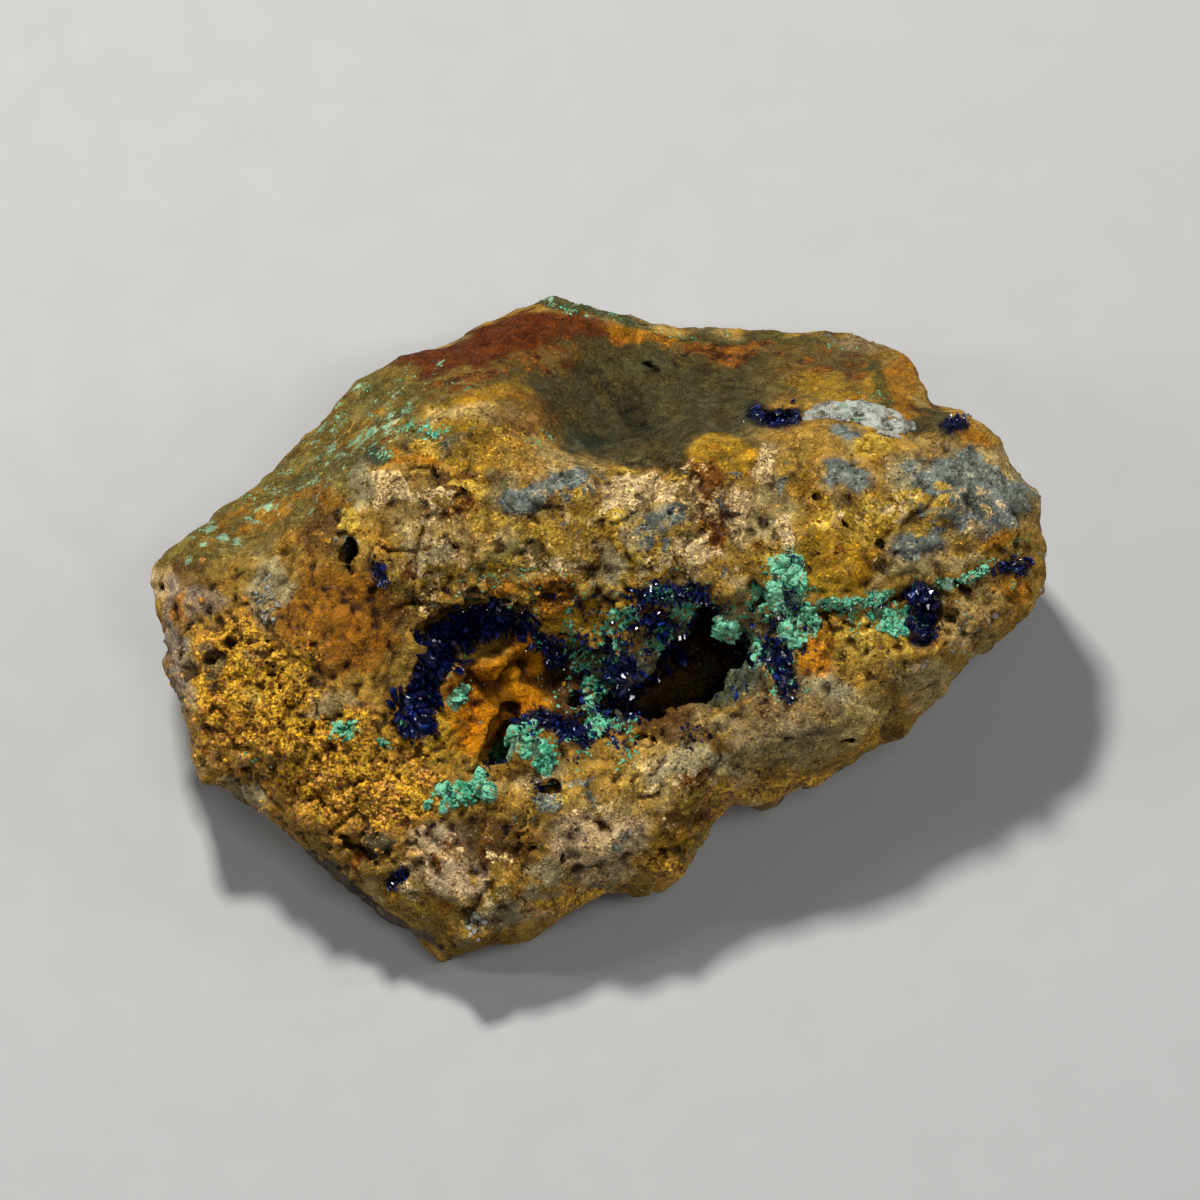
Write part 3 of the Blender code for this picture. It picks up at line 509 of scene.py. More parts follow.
def surface_nets(us, vs, ws, field):
    """Quads round field < 0, one point in each lattice cell that the surface crosses."""
    inside = field < 0
    n0, n1, n2 = field.shape
    corner = [(i, j, k) for i in (0, 1) for j in (0, 1) for k in (0, 1)]
    count = np.zeros((n0 - 1, n1 - 1, n2 - 1), np.uint8)
    for i, j, k in corner:
        count += inside[i:n0 - 1 + i, j:n1 - 1 + j, k:n2 - 1 + k]
    cell = np.nonzero((count > 0) & (count < 8))
    index = np.full(count.shape, -1, np.int32)
    index[cell] = np.arange(len(cell[0]))
    values = [field[cell[0] + i, cell[1] + j, cell[2] + k] for i, j, k in corner]
    place = np.zeros((len(cell[0]), 3))
    hits = np.zeros(len(cell[0]))
    for a in range(8):
        for b in range(a + 1, 8):
            d = np.array(corner[b]) - np.array(corner[a])
            if np.abs(d).sum() != 1:
                continue
            fa, fb = values[a], values[b]
            cross = (fa < 0) != (fb < 0)
            t = np.where(cross, fa / np.where(cross, fa - fb, 1), 0)
            for axis in range(3):
                place[:, axis] += np.where(cross, corner[a][axis] + t * d[axis], 0)
            hits += cross
    place /= hits[:, None]
    step = us[1] - us[0]
    p = np.stack([us[cell[0]], vs[cell[1]], ws[cell[2]]], 1) + place * step
    quads = []
    for axis in range(3):
        lo = [slice(0, n - 1) if a == axis else slice(1, n - 1) for a, n in enumerate((n0, n1, n2))]
        hi = [slice(1, n) if a == axis else slice(1, n - 1) for a, n in enumerate((n0, n1, n2))]
        one, two = inside[tuple(lo)], inside[tuple(hi)]
        e = np.nonzero(one != two)
        pos = [e[a] if a == axis else e[a] + 1 for a in range(3)]
        b, c = (axis + 1) % 3, (axis + 2) % 3
        ring = []
        for db, dc in ((1, 1), (0, 1), (0, 0), (1, 0)):
            at = [None] * 3
            at[axis] = pos[axis]
            at[b] = pos[b] - db
            at[c] = pos[c] - dc
            ring.append(index[at[0], at[1], at[2]])
        ring = np.stack(ring, 1)
        flip = ~one[e]
        ring[flip] = ring[flip][:, ::-1]
        quads.append(ring)
    return p, np.concatenate(quads)


def largest_sheet(points, quads):
    """Keeps the largest connected surface, without the bits that float free of it."""
    owner = np.arange(len(points))
    edges = np.concatenate([quads[:, [0, 1]], quads[:, [1, 2]], quads[:, [2, 3]]])
    while True:
        a, b = owner[edges[:, 0]], owner[edges[:, 1]]
        low, high = np.minimum(a, b), np.maximum(a, b)
        apart = low != high
        if not apart.any():
            break
        np.minimum.at(owner, high[apart], low[apart])
        while (owner[owner] != owner).any():
            owner = owner[owner]
    keep = owner == np.bincount(owner).argmax()
    return points[keep], (np.cumsum(keep) - 1)[quads[keep[quads[:, 0]]]]


# ------------------------------------------------------------------ mesh helpers
def mesh_object(name, points, faces, smooth, material):
    """points in metres; faces is a list of integer arrays, one row for each face."""
    mesh = bpy.data.meshes.new(name)
    faces = [np.asarray(f) for f in faces if len(f)]
    loops = np.concatenate([f.ravel() for f in faces]).astype(np.int32)
    sizes = np.concatenate([np.full(len(f), f.shape[1]) for f in faces]).astype(np.int32)
    starts = np.r_[0, np.cumsum(sizes)[:-1]].astype(np.int32)
    mesh.vertices.add(len(points))
    mesh.vertices.foreach_set("co", np.asarray(points, np.float32).ravel())
    mesh.loops.add(len(loops))
    mesh.loops.foreach_set("vertex_index", loops)
    mesh.polygons.add(len(sizes))
    mesh.polygons.foreach_set("loop_start", starts)
    mesh.polygons.foreach_set("use_smooth", np.full(len(sizes), bool(smooth)))
    mesh.update(calc_edges=True)
    mesh.validate()
    mesh.materials.append(material)
    ob = bpy.data.objects.new(name, mesh)
    bpy.context.scene.collection.objects.link(ob)
    return ob


def paint(mesh, name, values):
    """Stores one number or colour for each point of the mesh."""
    values = np.asarray(values, np.float32)
    if values.ndim == 1:
        layer = mesh.attributes.new(name, "FLOAT", "POINT")
        layer.data.foreach_set("value", values)
    else:
        layer = mesh.attributes.new(name, "FLOAT_COLOR", "POINT")
        rgba = np.c_[values, np.ones(len(values), np.float32)]
        layer.data.foreach_set("color", rgba.ravel())


def points_of(mesh):
    co = np.zeros(len(mesh.vertices) * 3)
    mesh.vertices.foreach_get("co", co)
    return co.reshape(-1, 3)


def normals_of(mesh):
    n = np.zeros(len(mesh.vertices) * 3)
    mesh.vertex_normals.foreach_get("vector", n)
    return n.reshape(-1, 3)


def triangles_of(mesh):
    mesh.calc_loop_triangles()
    t = np.zeros(len(mesh.loop_triangles) * 3, np.int32)
    mesh.loop_triangles.foreach_get("vertices", t)
    return t.reshape(-1, 3)


def ball_template(subdivisions):
    bm = bmesh.new()
    bmesh.ops.create_icosphere(bm, subdivisions=subdivisions, radius=1.0)
    v = np.array([x.co for x in bm.verts])
    f = np.array([[x.index for x in face.verts] for face in bm.faces])
    bm.free()
    return v, f


def unit(a):
    return a / np.maximum(np.linalg.norm(a, axis=-1, keepdims=True), 1e-9)


def frames_for(axis, rng):
    """Two random directions square to each axis."""
    r = rng.normal(size=axis.shape)
    s = unit(r - axis * (r * axis).sum(-1, keepdims=True))
    return s, np.cross(axis, s)


def many(template, faces, origin, sx, sy, sz):
    """Copies of a template, one for each origin, with its three scaled axes."""
    v = (origin[:, None] + template[None, :, :1] * sx[:, None] + template[None, :, 1:2] * sy[:, None]
         + template[None, :, 2:3] * sz[:, None])
    n = template.shape[0]
    shift = (np.arange(len(origin)) * n)[:, None, None]
    return v.reshape(-1, 3), [(np.asarray(f)[None] + shift).reshape(-1, np.shape(f)[1]) for f in faces]


# ------------------------------------------------------------------ materials
class Nodes:
    """Short names for building a node tree."""

    def __init__(self, name):
        self.mat = bpy.data.materials.new(name)
        self.mat.use_nodes = True
        self.tree = self.mat.node_tree
        self.shader = self.tree.nodes["Principled BSDF"]
        self.coords = self.tree.nodes.new("ShaderNodeTexCoord").outputs["Object"]

    def link(self, a, b):
        self.tree.links.new(a, b)

    def put(self, node, key, value):
        if isinstance(value, bpy.types.NodeSocket):
            self.link(value, node.inputs[key])
        else:
            node.inputs[key].default_value = value

    def noise(self, size_mm, detail=4.0, rough=0.6, distort=0.0, shift=0.0):
        n = self.tree.nodes.new("ShaderNodeTexNoise")
        n.inputs["Scale"].default_value = 1000.0 / size_mm
        n.inputs["Detail"].default_value = detail
        n.inputs["Roughness"].default_value = rough
        n.inputs["Distortion"].default_value = distort
        if shift:
            m = self.tree.nodes.new("ShaderNodeMapping")
            m.inputs["Location"].default_value = (shift, shift * 0.7, -shift)
            self.link(self.coords, m.inputs["Vector"])
            self.link(m.outputs[0], n.inputs["Vector"])
        else:
            self.link(self.coords, n.inputs["Vector"])
        return n.outputs["Fac"]

    def voronoi(self, size_mm, feature="F1", output="Distance", randomness=1.0):
        n = self.tree.nodes.new("ShaderNodeTexVoronoi")
        n.feature = feature
        n.inputs["Scale"].default_value = 1000.0 / size_mm
        n.inputs["Randomness"].default_value = randomness
        self.link(self.coords, n.inputs["Vector"])
        return n.outputs[output]

    def attribute(self, name, output="Fac"):
        n = self.tree.nodes.new("ShaderNodeAttribute")
        n.attribute_type = "GEOMETRY"
        n.attribute_name = name
        return n.outputs[output]

    def span(self, value, a, b, low=0.0, high=1.0):
        n = self.tree.nodes.new("ShaderNodeMapRange")
        n.interpolation_type = "SMOOTHSTEP"
        self.put(n, "Value", value)
        for key, x in (("From Min", a), ("From Max", b), ("To Min", low), ("To Max", high)):
            n.inputs[key].default_value = x
        return n.outputs["Result"]

    def math(self, op, a, b=0.5, c=0.0):
        n = self.tree.nodes.new("ShaderNodeMath")
        n.operation = op
        for i, x in enumerate((a, b, c)):
            self.put(n, i, x)
        return n.outputs[0]

    def mix(self, a, b, factor, blend="MIX"):
        n = self.tree.nodes.new("ShaderNodeMix")
        n.data_type = "RGBA"
        n.blend_type = blend
        self.put(n, 0, factor)
        for i, x in ((6, a), (7, b)):
            self.put(n, i, x if isinstance(x, bpy.types.NodeSocket) else (*x, 1.0))
        return n.outputs[2]

    def bump(self, height, strength, distance_mm, normal=None):
        n = self.tree.nodes.new("ShaderNodeBump")
        n.inputs["Strength"].default_value = strength
        n.inputs["Distance"].default_value = distance_mm * 0.001
        self.link(height, n.inputs["Height"])
        if normal is not None:
            self.link(normal, n.inputs["Normal"])
        return n.outputs[0]

    def facets(self, cell_colour, amount, normal):
        """Tips the normal by an amount and direction of each grain's own."""
        a, b, c = (self.tree.nodes.new("ShaderNodeVectorMath") for _ in range(3))
        a.operation = "SUBTRACT"
        self.link(cell_colour, a.inputs[0])
        a.inputs[1].default_value = (0.5, 0.5, 0.5)
        b.operation = "SCALE"
        self.link(a.outputs[0], b.inputs[0])
        self.put(b, "Scale", amount)
        c.operation = "ADD"
        self.link(b.outputs[0], c.inputs[0])
        self.link(normal, c.inputs[1])
        d = self.tree.nodes.new("ShaderNodeVectorMath")
        d.operation = "NORMALIZE"
        self.link(c.outputs[0], d.inputs[0])
        return d.outputs[0]

    def set(self, **values):
        for key, value in values.items():
            self.put(self.shader, key.replace("_", " "), value)
        return self.mat


def stone_material():
    """Limonite gossan: the painted ground under crisp patches of its other minerals."""
    k = Nodes("gossan")
    coarse, gloss = k.attribute("coarse"), k.attribute("gloss")
    wide = k.noise(3.4, 7.0, 0.66, 0.5, 0.31)
    patch = k.noise(1.5, 6.0, 0.68, 0.4, 0.17)
    third = k.noise(2.1, 7.0, 0.70, 0.6, 0.53)
    grit = k.noise(0.32, 4.0, 0.76)
    folds = k.noise(0.95, 4.0, 0.60, 1.4, 0.77)
    grains, own = k.voronoi(0.21), k.voronoi(0.21, output="Color")
    split = k.tree.nodes.new("ShaderNodeSeparateColor")
    k.link(own, split.inputs[0])
    shade = k.math("ADD", k.math("MULTIPLY", grit, 0.75), k.math("MULTIPLY", patch, 0.25))

    def cover(name, noise, gain):
        raised = k.math("MULTIPLY_ADD", k.attribute(name), 1.45, -0.32 - 0.5 * gain)
        return k.span(k.math("MULTIPLY_ADD", noise, gain, raised), 0.44, 0.60)

    grainy = k.math("MAXIMUM", k.span(third, 0.43, 0.60, 0.18, 1.0), k.math("MULTIPLY", gloss, 0.9))
    quiet = k.math("SUBTRACT", 1.0, gloss)
    dim, lit = k.span(shade, 0.495, 0.43), k.span(shade, 0.505, 0.57)
    c = k.mix(k.attribute("tint", "Color"), (1.18, 1.0, 0.66), k.span(wide, 0.50, 0.60, 0.0, 0.8), "MULTIPLY")
    c = k.mix(c, (0.78, 0.86, 0.95), k.span(wide, 0.46, 0.38, 0.0, 0.6), "MULTIPLY")
    layers = (("rust", third, 2.8, (0.070, 0.021, 0.003), (0.30, 0.108, 0.010)),
              ("slate", third, 2.8, (0.112, 0.130, 0.112), (0.25, 0.295, 0.262)),
              ("yellow", wide, 2.6, (0.350, 0.185, 0.012), (0.70, 0.470, 0.070)),
              ("cream", patch, 3.2, (0.210, 0.125, 0.040), (0.86, 0.640, 0.310)),
              ("mint", patch, 3.4, (0.040, 0.130, 0.070), (0.25, 0.430, 0.275)),
              ("gold", wide, 2.4, (0.150, 0.037, 0.001), (1.00, 0.580, 0.038)))
    wiry = k.math("ABSOLUTE", k.math("MULTIPLY_ADD", folds, 2.0, -1.0))
    for name, noise, gain, low, high in layers:
        # the gold layer runs from dark brown to bright gold along folds, the same height the gold bump uses: partly its
        # own tone, partly painted shade in the creases and painted highlight on the crests
        inner = {"gold": k.span(folds, 0.34, 0.57), "cream": k.span(wiry, 0.34, 0.02)}.get(
            name, k.span(patch, 0.36, 0.60))
        c = k.mix(c, k.mix(low, high, inner), cover(name, noise, gain))
    force = k.math("MULTIPLY", grainy, k.math("MULTIPLY_ADD", gloss, 0.38, 0.62))
    c = k.mix(c, (0.28, 0.17, 0.08), k.math("MULTIPLY", dim, force), "MULTIPLY")
    c = k.mix(c, (1.75, 1.66, 1.45), k.math("MULTIPLY", lit, force), "MULTIPLY")
    c = k.mix(c, (0.36, 0.23, 0.12), k.math("MULTIPLY", k.span(third, 0.47, 0.39), k.math("MULTIPLY", gloss, 0.85)), "MULTIPLY")
    c = k.mix(c, (1.30, 1.26, 1.1), k.math("MULTIPLY", k.span(third, 0.52, 0.60), gloss), "MULTIPLY")
    blotch = k.noise(6.0, 5.0, 0.62, 0.4, 0.91)
    c = k.mix(c, (0.64, 0.59, 0.50), k.span(blotch, 0.47, 0.36, 0.0, 0.7), "MULTIPLY")
    c = k.mix(c, (1.26, 1.20, 1.08), k.span(blotch, 0.53, 0.64, 0.0, 0.7), "MULTIPLY")
    crisp = k.math("MULTIPLY_ADD", coarse, 0.70, 0.25)
    c = k.mix(c, (0.30, 0.195, 0.10), k.math("MULTIPLY", k.span(split.outputs[0], 0.045, 0.030), crisp), "MULTIPLY")
    c = k.mix(c, (2.0, 1.85, 1.55), k.math("MULTIPLY", k.span(split.outputs[0], 0.90, 0.93), crisp), "MULTIPLY")
    pepper = k.math("MULTIPLY", k.span(grit, 0.39, 0.32), k.span(patch, 0.52, 0.42, 0.0, 0.85))
    c = k.mix(c, (0.14, 0.085, 0.042), k.math("MULTIPLY", pepper, k.math("MULTIPLY_ADD", quiet, 0.6, 0.3)), "MULTIPLY")
    line = k.math("ABSOLUTE", k.math("SUBTRACT", k.noise(4.4, 6.0, 0.60, 0.8, 1.31), 0.5))
    cracks = k.math("MULTIPLY", k.span(line, 0.010, 0.002), k.span(wide, 0.46, 0.56, 0.0, 0.85))
    thread = k.span(k.math("ABSOLUTE", k.math("SUBTRACT", third, 0.52)), 0.009, 0.002)
    cracks = k.math("MAXIMUM", cracks, k.math("MULTIPLY", thread, k.span(blotch, 0.47, 0.56, 0.0, 0.75)))
    edge = k.span(k.math("ABSOLUTE", k.math("SUBTRACT", patch, 0.45)), 0.010, 0.002)
    cracks = k.math("MAXIMUM", cracks, k.math("MULTIPLY", edge, k.span(wide, 0.52, 0.44, 0.0, 0.7)))
    c = k.mix(c, (0.14, 0.075, 0.035), cracks, "MULTIPLY")
    # painted shade: the colour darkens in the stone's hollows, by the hollow attribute (how far each point lies sunk
    # below its surroundings)
    deep = k.math("MULTIPLY", k.attribute("hollow"), k.span(patch, 0.3, 0.6, 1.3, 0.9))
    c = k.mix(c, (0.070, 0.036, 0.012), deep, "MULTIPLY")
    spark = k.math("MULTIPLY", k.span(split.outputs[1], 0.86, 0.92), k.math("MULTIPLY_ADD", coarse, 0.6, 0.2))
    dull = k.math("SUBTRACT", k.span(grit, 0.35, 0.65, 0.60, 0.95), k.math("MULTIPLY", gloss, 0.50))
    rough = k.math("MAXIMUM", k.math("SUBTRACT", dull, k.math("MULTIPLY", spark, 0.40)), 0.10)
    shine = k.math("MULTIPLY_ADD", gloss, 0.95, 0.10)
    shine = k.math("ADD", shine, k.math("MULTIPLY", spark, 0.8))
    b = k.bump(patch, 0.85, 0.55)
    b = k.bump(k.math("MULTIPLY", folds, gloss), 1.0, 1.6, b)
    b = k.bump(k.math("MULTIPLY", grit, grainy), 0.95, 0.58, b)
    b = k.bump(grains, 0.6, 0.10, b)
    glow = k.mix((1.0, 0.97, 0.92), (1.0, 0.66, 0.24), gloss)
    return k.set(Base_Color=c, Roughness=rough, Specular_IOR_Level=shine, Specular_Tint=glow, Normal=k.facets(own, k.math(
        "MULTIPLY_ADD", gloss, 0.80, 0.12), b))


def gold_material():
    """Glassy golden goethite and limonite grains."""
    k = Nodes("golden_limonite")
    grain = k.noise(0.42, 4.0, 0.62)
    c = k.mix(k.attribute("tint", "Color"), (0.28, 0.15, 0.05), k.span(grain, 0.49, 0.36, 0.0, 0.9), "MULTIPLY")
    c = k.mix(c, (1.4, 1.3, 1.1), k.span(grain, 0.54, 0.66), "MULTIPLY")
    rough = k.span(k.noise(0.7, 3.0, 0.6, 0.0, 0.2), 0.4, 0.6, 0.12, 0.50)
    b = k.bump(grain, 0.9, 0.34)
    return k.set(Base_Color=c, Roughness=rough, IOR=1.6, Normal=b)


def azurite_material():
    k = Nodes("azurite_crystal")
    n = k.noise(0.9, 4.0, 0.6)
    tone = k.attribute("tone")
    # the tone's rise towards each blade's tip carries painted shade at the bases into the colour
    mood = k.math("ADD", k.math("MULTIPLY", n, 0.6), k.math("MULTIPLY", tone, 0.6))
    c = k.mix((0.0008, 0.0012, 0.0062), (0.0024, 0.0056, 0.044), k.span(mood, 0.36, 0.70))
    c = k.mix(c, (0.007, 0.026, 0.20), k.span(mood, 0.74, 0.90))
    rough = k.span(n, 0.3, 0.7, 0.04, 0.22)
    b = k.bump(k.noise(0.30, 3.0, 0.6), 0.25, 0.04)
    return k.set(Base_Color=c, Roughness=rough, IOR=1.73, Normal=b)


def malachite_material():
    k = Nodes("malachite_velvet")
    n = k.noise(0.36, 5.0, 0.74)
    other = k.noise(0.85, 6.0, 0.72, 0.4, 0.6)
    tone = k.attribute("tone")
    # tone brings painted shade from the meshes: darker low on buds and in the dents of lobes
    mood = k.math("ADD", k.math("MULTIPLY", n, 1.15), k.math("MULTIPLY", tone, 0.60))
    c = k.mix((0.004, 0.040, 0.022), (0.056, 0.460, 0.250), k.span(mood, 0.54, 0.75))
    c = k.mix(c, (0.28, 0.800, 0.500), k.span(mood, 0.82, 1.09))
    c = k.mix(c, (0.34, 0.160, 0.018), k.span(other, 0.560, 0.595, 0.0, 0.92))
    c = k.mix(c, (0.002, 0.004, 0.028), k.span(other, 0.430, 0.395, 0.0, 0.92))
    b = k.bump(other, 0.8, 0.30)
    b = k.bump(n, 1.0, 0.38, b)
    return k.set(Base_Color=c, Roughness=k.span(n, 0.3, 0.7, 0.45, 0.8), Specular_IOR_Level=0.35, Normal=b)


def quartz_material():
    k = Nodes("quartz")
    n = k.noise(1.8, 7.0, 0.66, 0.6)
    c = k.mix((0.16, 0.160, 0.110), (0.80, 0.84, 0.74), k.span(n, 0.38, 0.60))
    c = k.mix(c, (0.20, 0.52, 0.34), k.span(k.noise(2.2, 5.0, 0.6, 0.0, 0.4), 0.60, 0.66, 0.0, 0.6))
    c = k.mix(c, (0.34, 0.20, 0.05), k.span(k.noise(1.6, 5.0, 0.6, 0.0, 0.8), 0.57, 0.64, 0.0, 0.7))
    rough = k.span(n, 0.3, 0.7, 0.12, 0.5)
    b = k.bump(n, 0.7, 0.5)
    return k.set(Base_Color=c, Roughness=rough, IOR=1.54, Transmission_Weight=0.6,
                 Normal=k.bump(k.noise(0.5, 4.0, 0.6), 0.6, 0.2, b))


def floor_material():
    k = Nodes("studio_floor")
    n = k.noise(6.0, 3.0, 0.5)
    c = k.mix((0.36, 0.36, 0.357), (0.38, 0.38, 0.377), n)
    return k.set(Base_Color=c, Roughness=k.span(n, 0.3, 0.7, 0.62, 0.72), Normal=k.bump(n, 0.05, 0.02))


GOSSAN, GOLD = stone_material(), gold_material()
AZURITE, MALACHITE = azurite_material(), malachite_material()
QUARTZ = quartz_material()

# ------------------------------------------------------------------ colour of the stone
TINTS = {
    "base": (0.37, 0.220, 0.037), "yellow": (0.50, 0.325, 0.036), "ochre": (0.47, 0.268, 0.015),
    "tongue": (0.56, 0.210, 0.001), "boss": (0.285, 0.112, 0.0005), "orange": (0.41, 0.168, 0.006),
    "rust": (0.158, 0.073, 0.005), "red": (0.130, 0.029, 0.0015), "brown": (0.100, 0.043, 0.010),
    "tan": (0.52, 0.355, 0.112), "cream": (0.46, 0.315, 0.100), "taupe": (0.44, 0.345, 0.150),
    "pink": (0.70, 0.500, 0.280), "grey": (0.41, 0.370, 0.215), "slate": (0.180, 0.225, 0.198),
    "dish": (0.073, 0.064, 0.022), "sage": (0.190, 0.142, 0.031), "teal": (0.015, 0.046, 0.041),
    "pale": (0.096, 0.094, 0.031), "gold": (1.00, 0.455, 0.014), "dark": (0.054, 0.120, 0.092),
    "side": (0.22, 0.160, 0.075), "leaf": (0.021, 0.047, 0.012), "ash": (0.34, 0.265, 0.200),
    "charcoal": (0.075, 0.068, 0.055), "olive": (0.104, 0.092, 0.023),
    "azurite": (0.003, 0.004, 0.020), "malachite": (0.030, 0.150, 0.090),
}
# minerals that lie in sharp-edged patches, drawn by the material over the ground
CRISP = ("rust", "slate", "yellow", "cream", "mint", "gold")

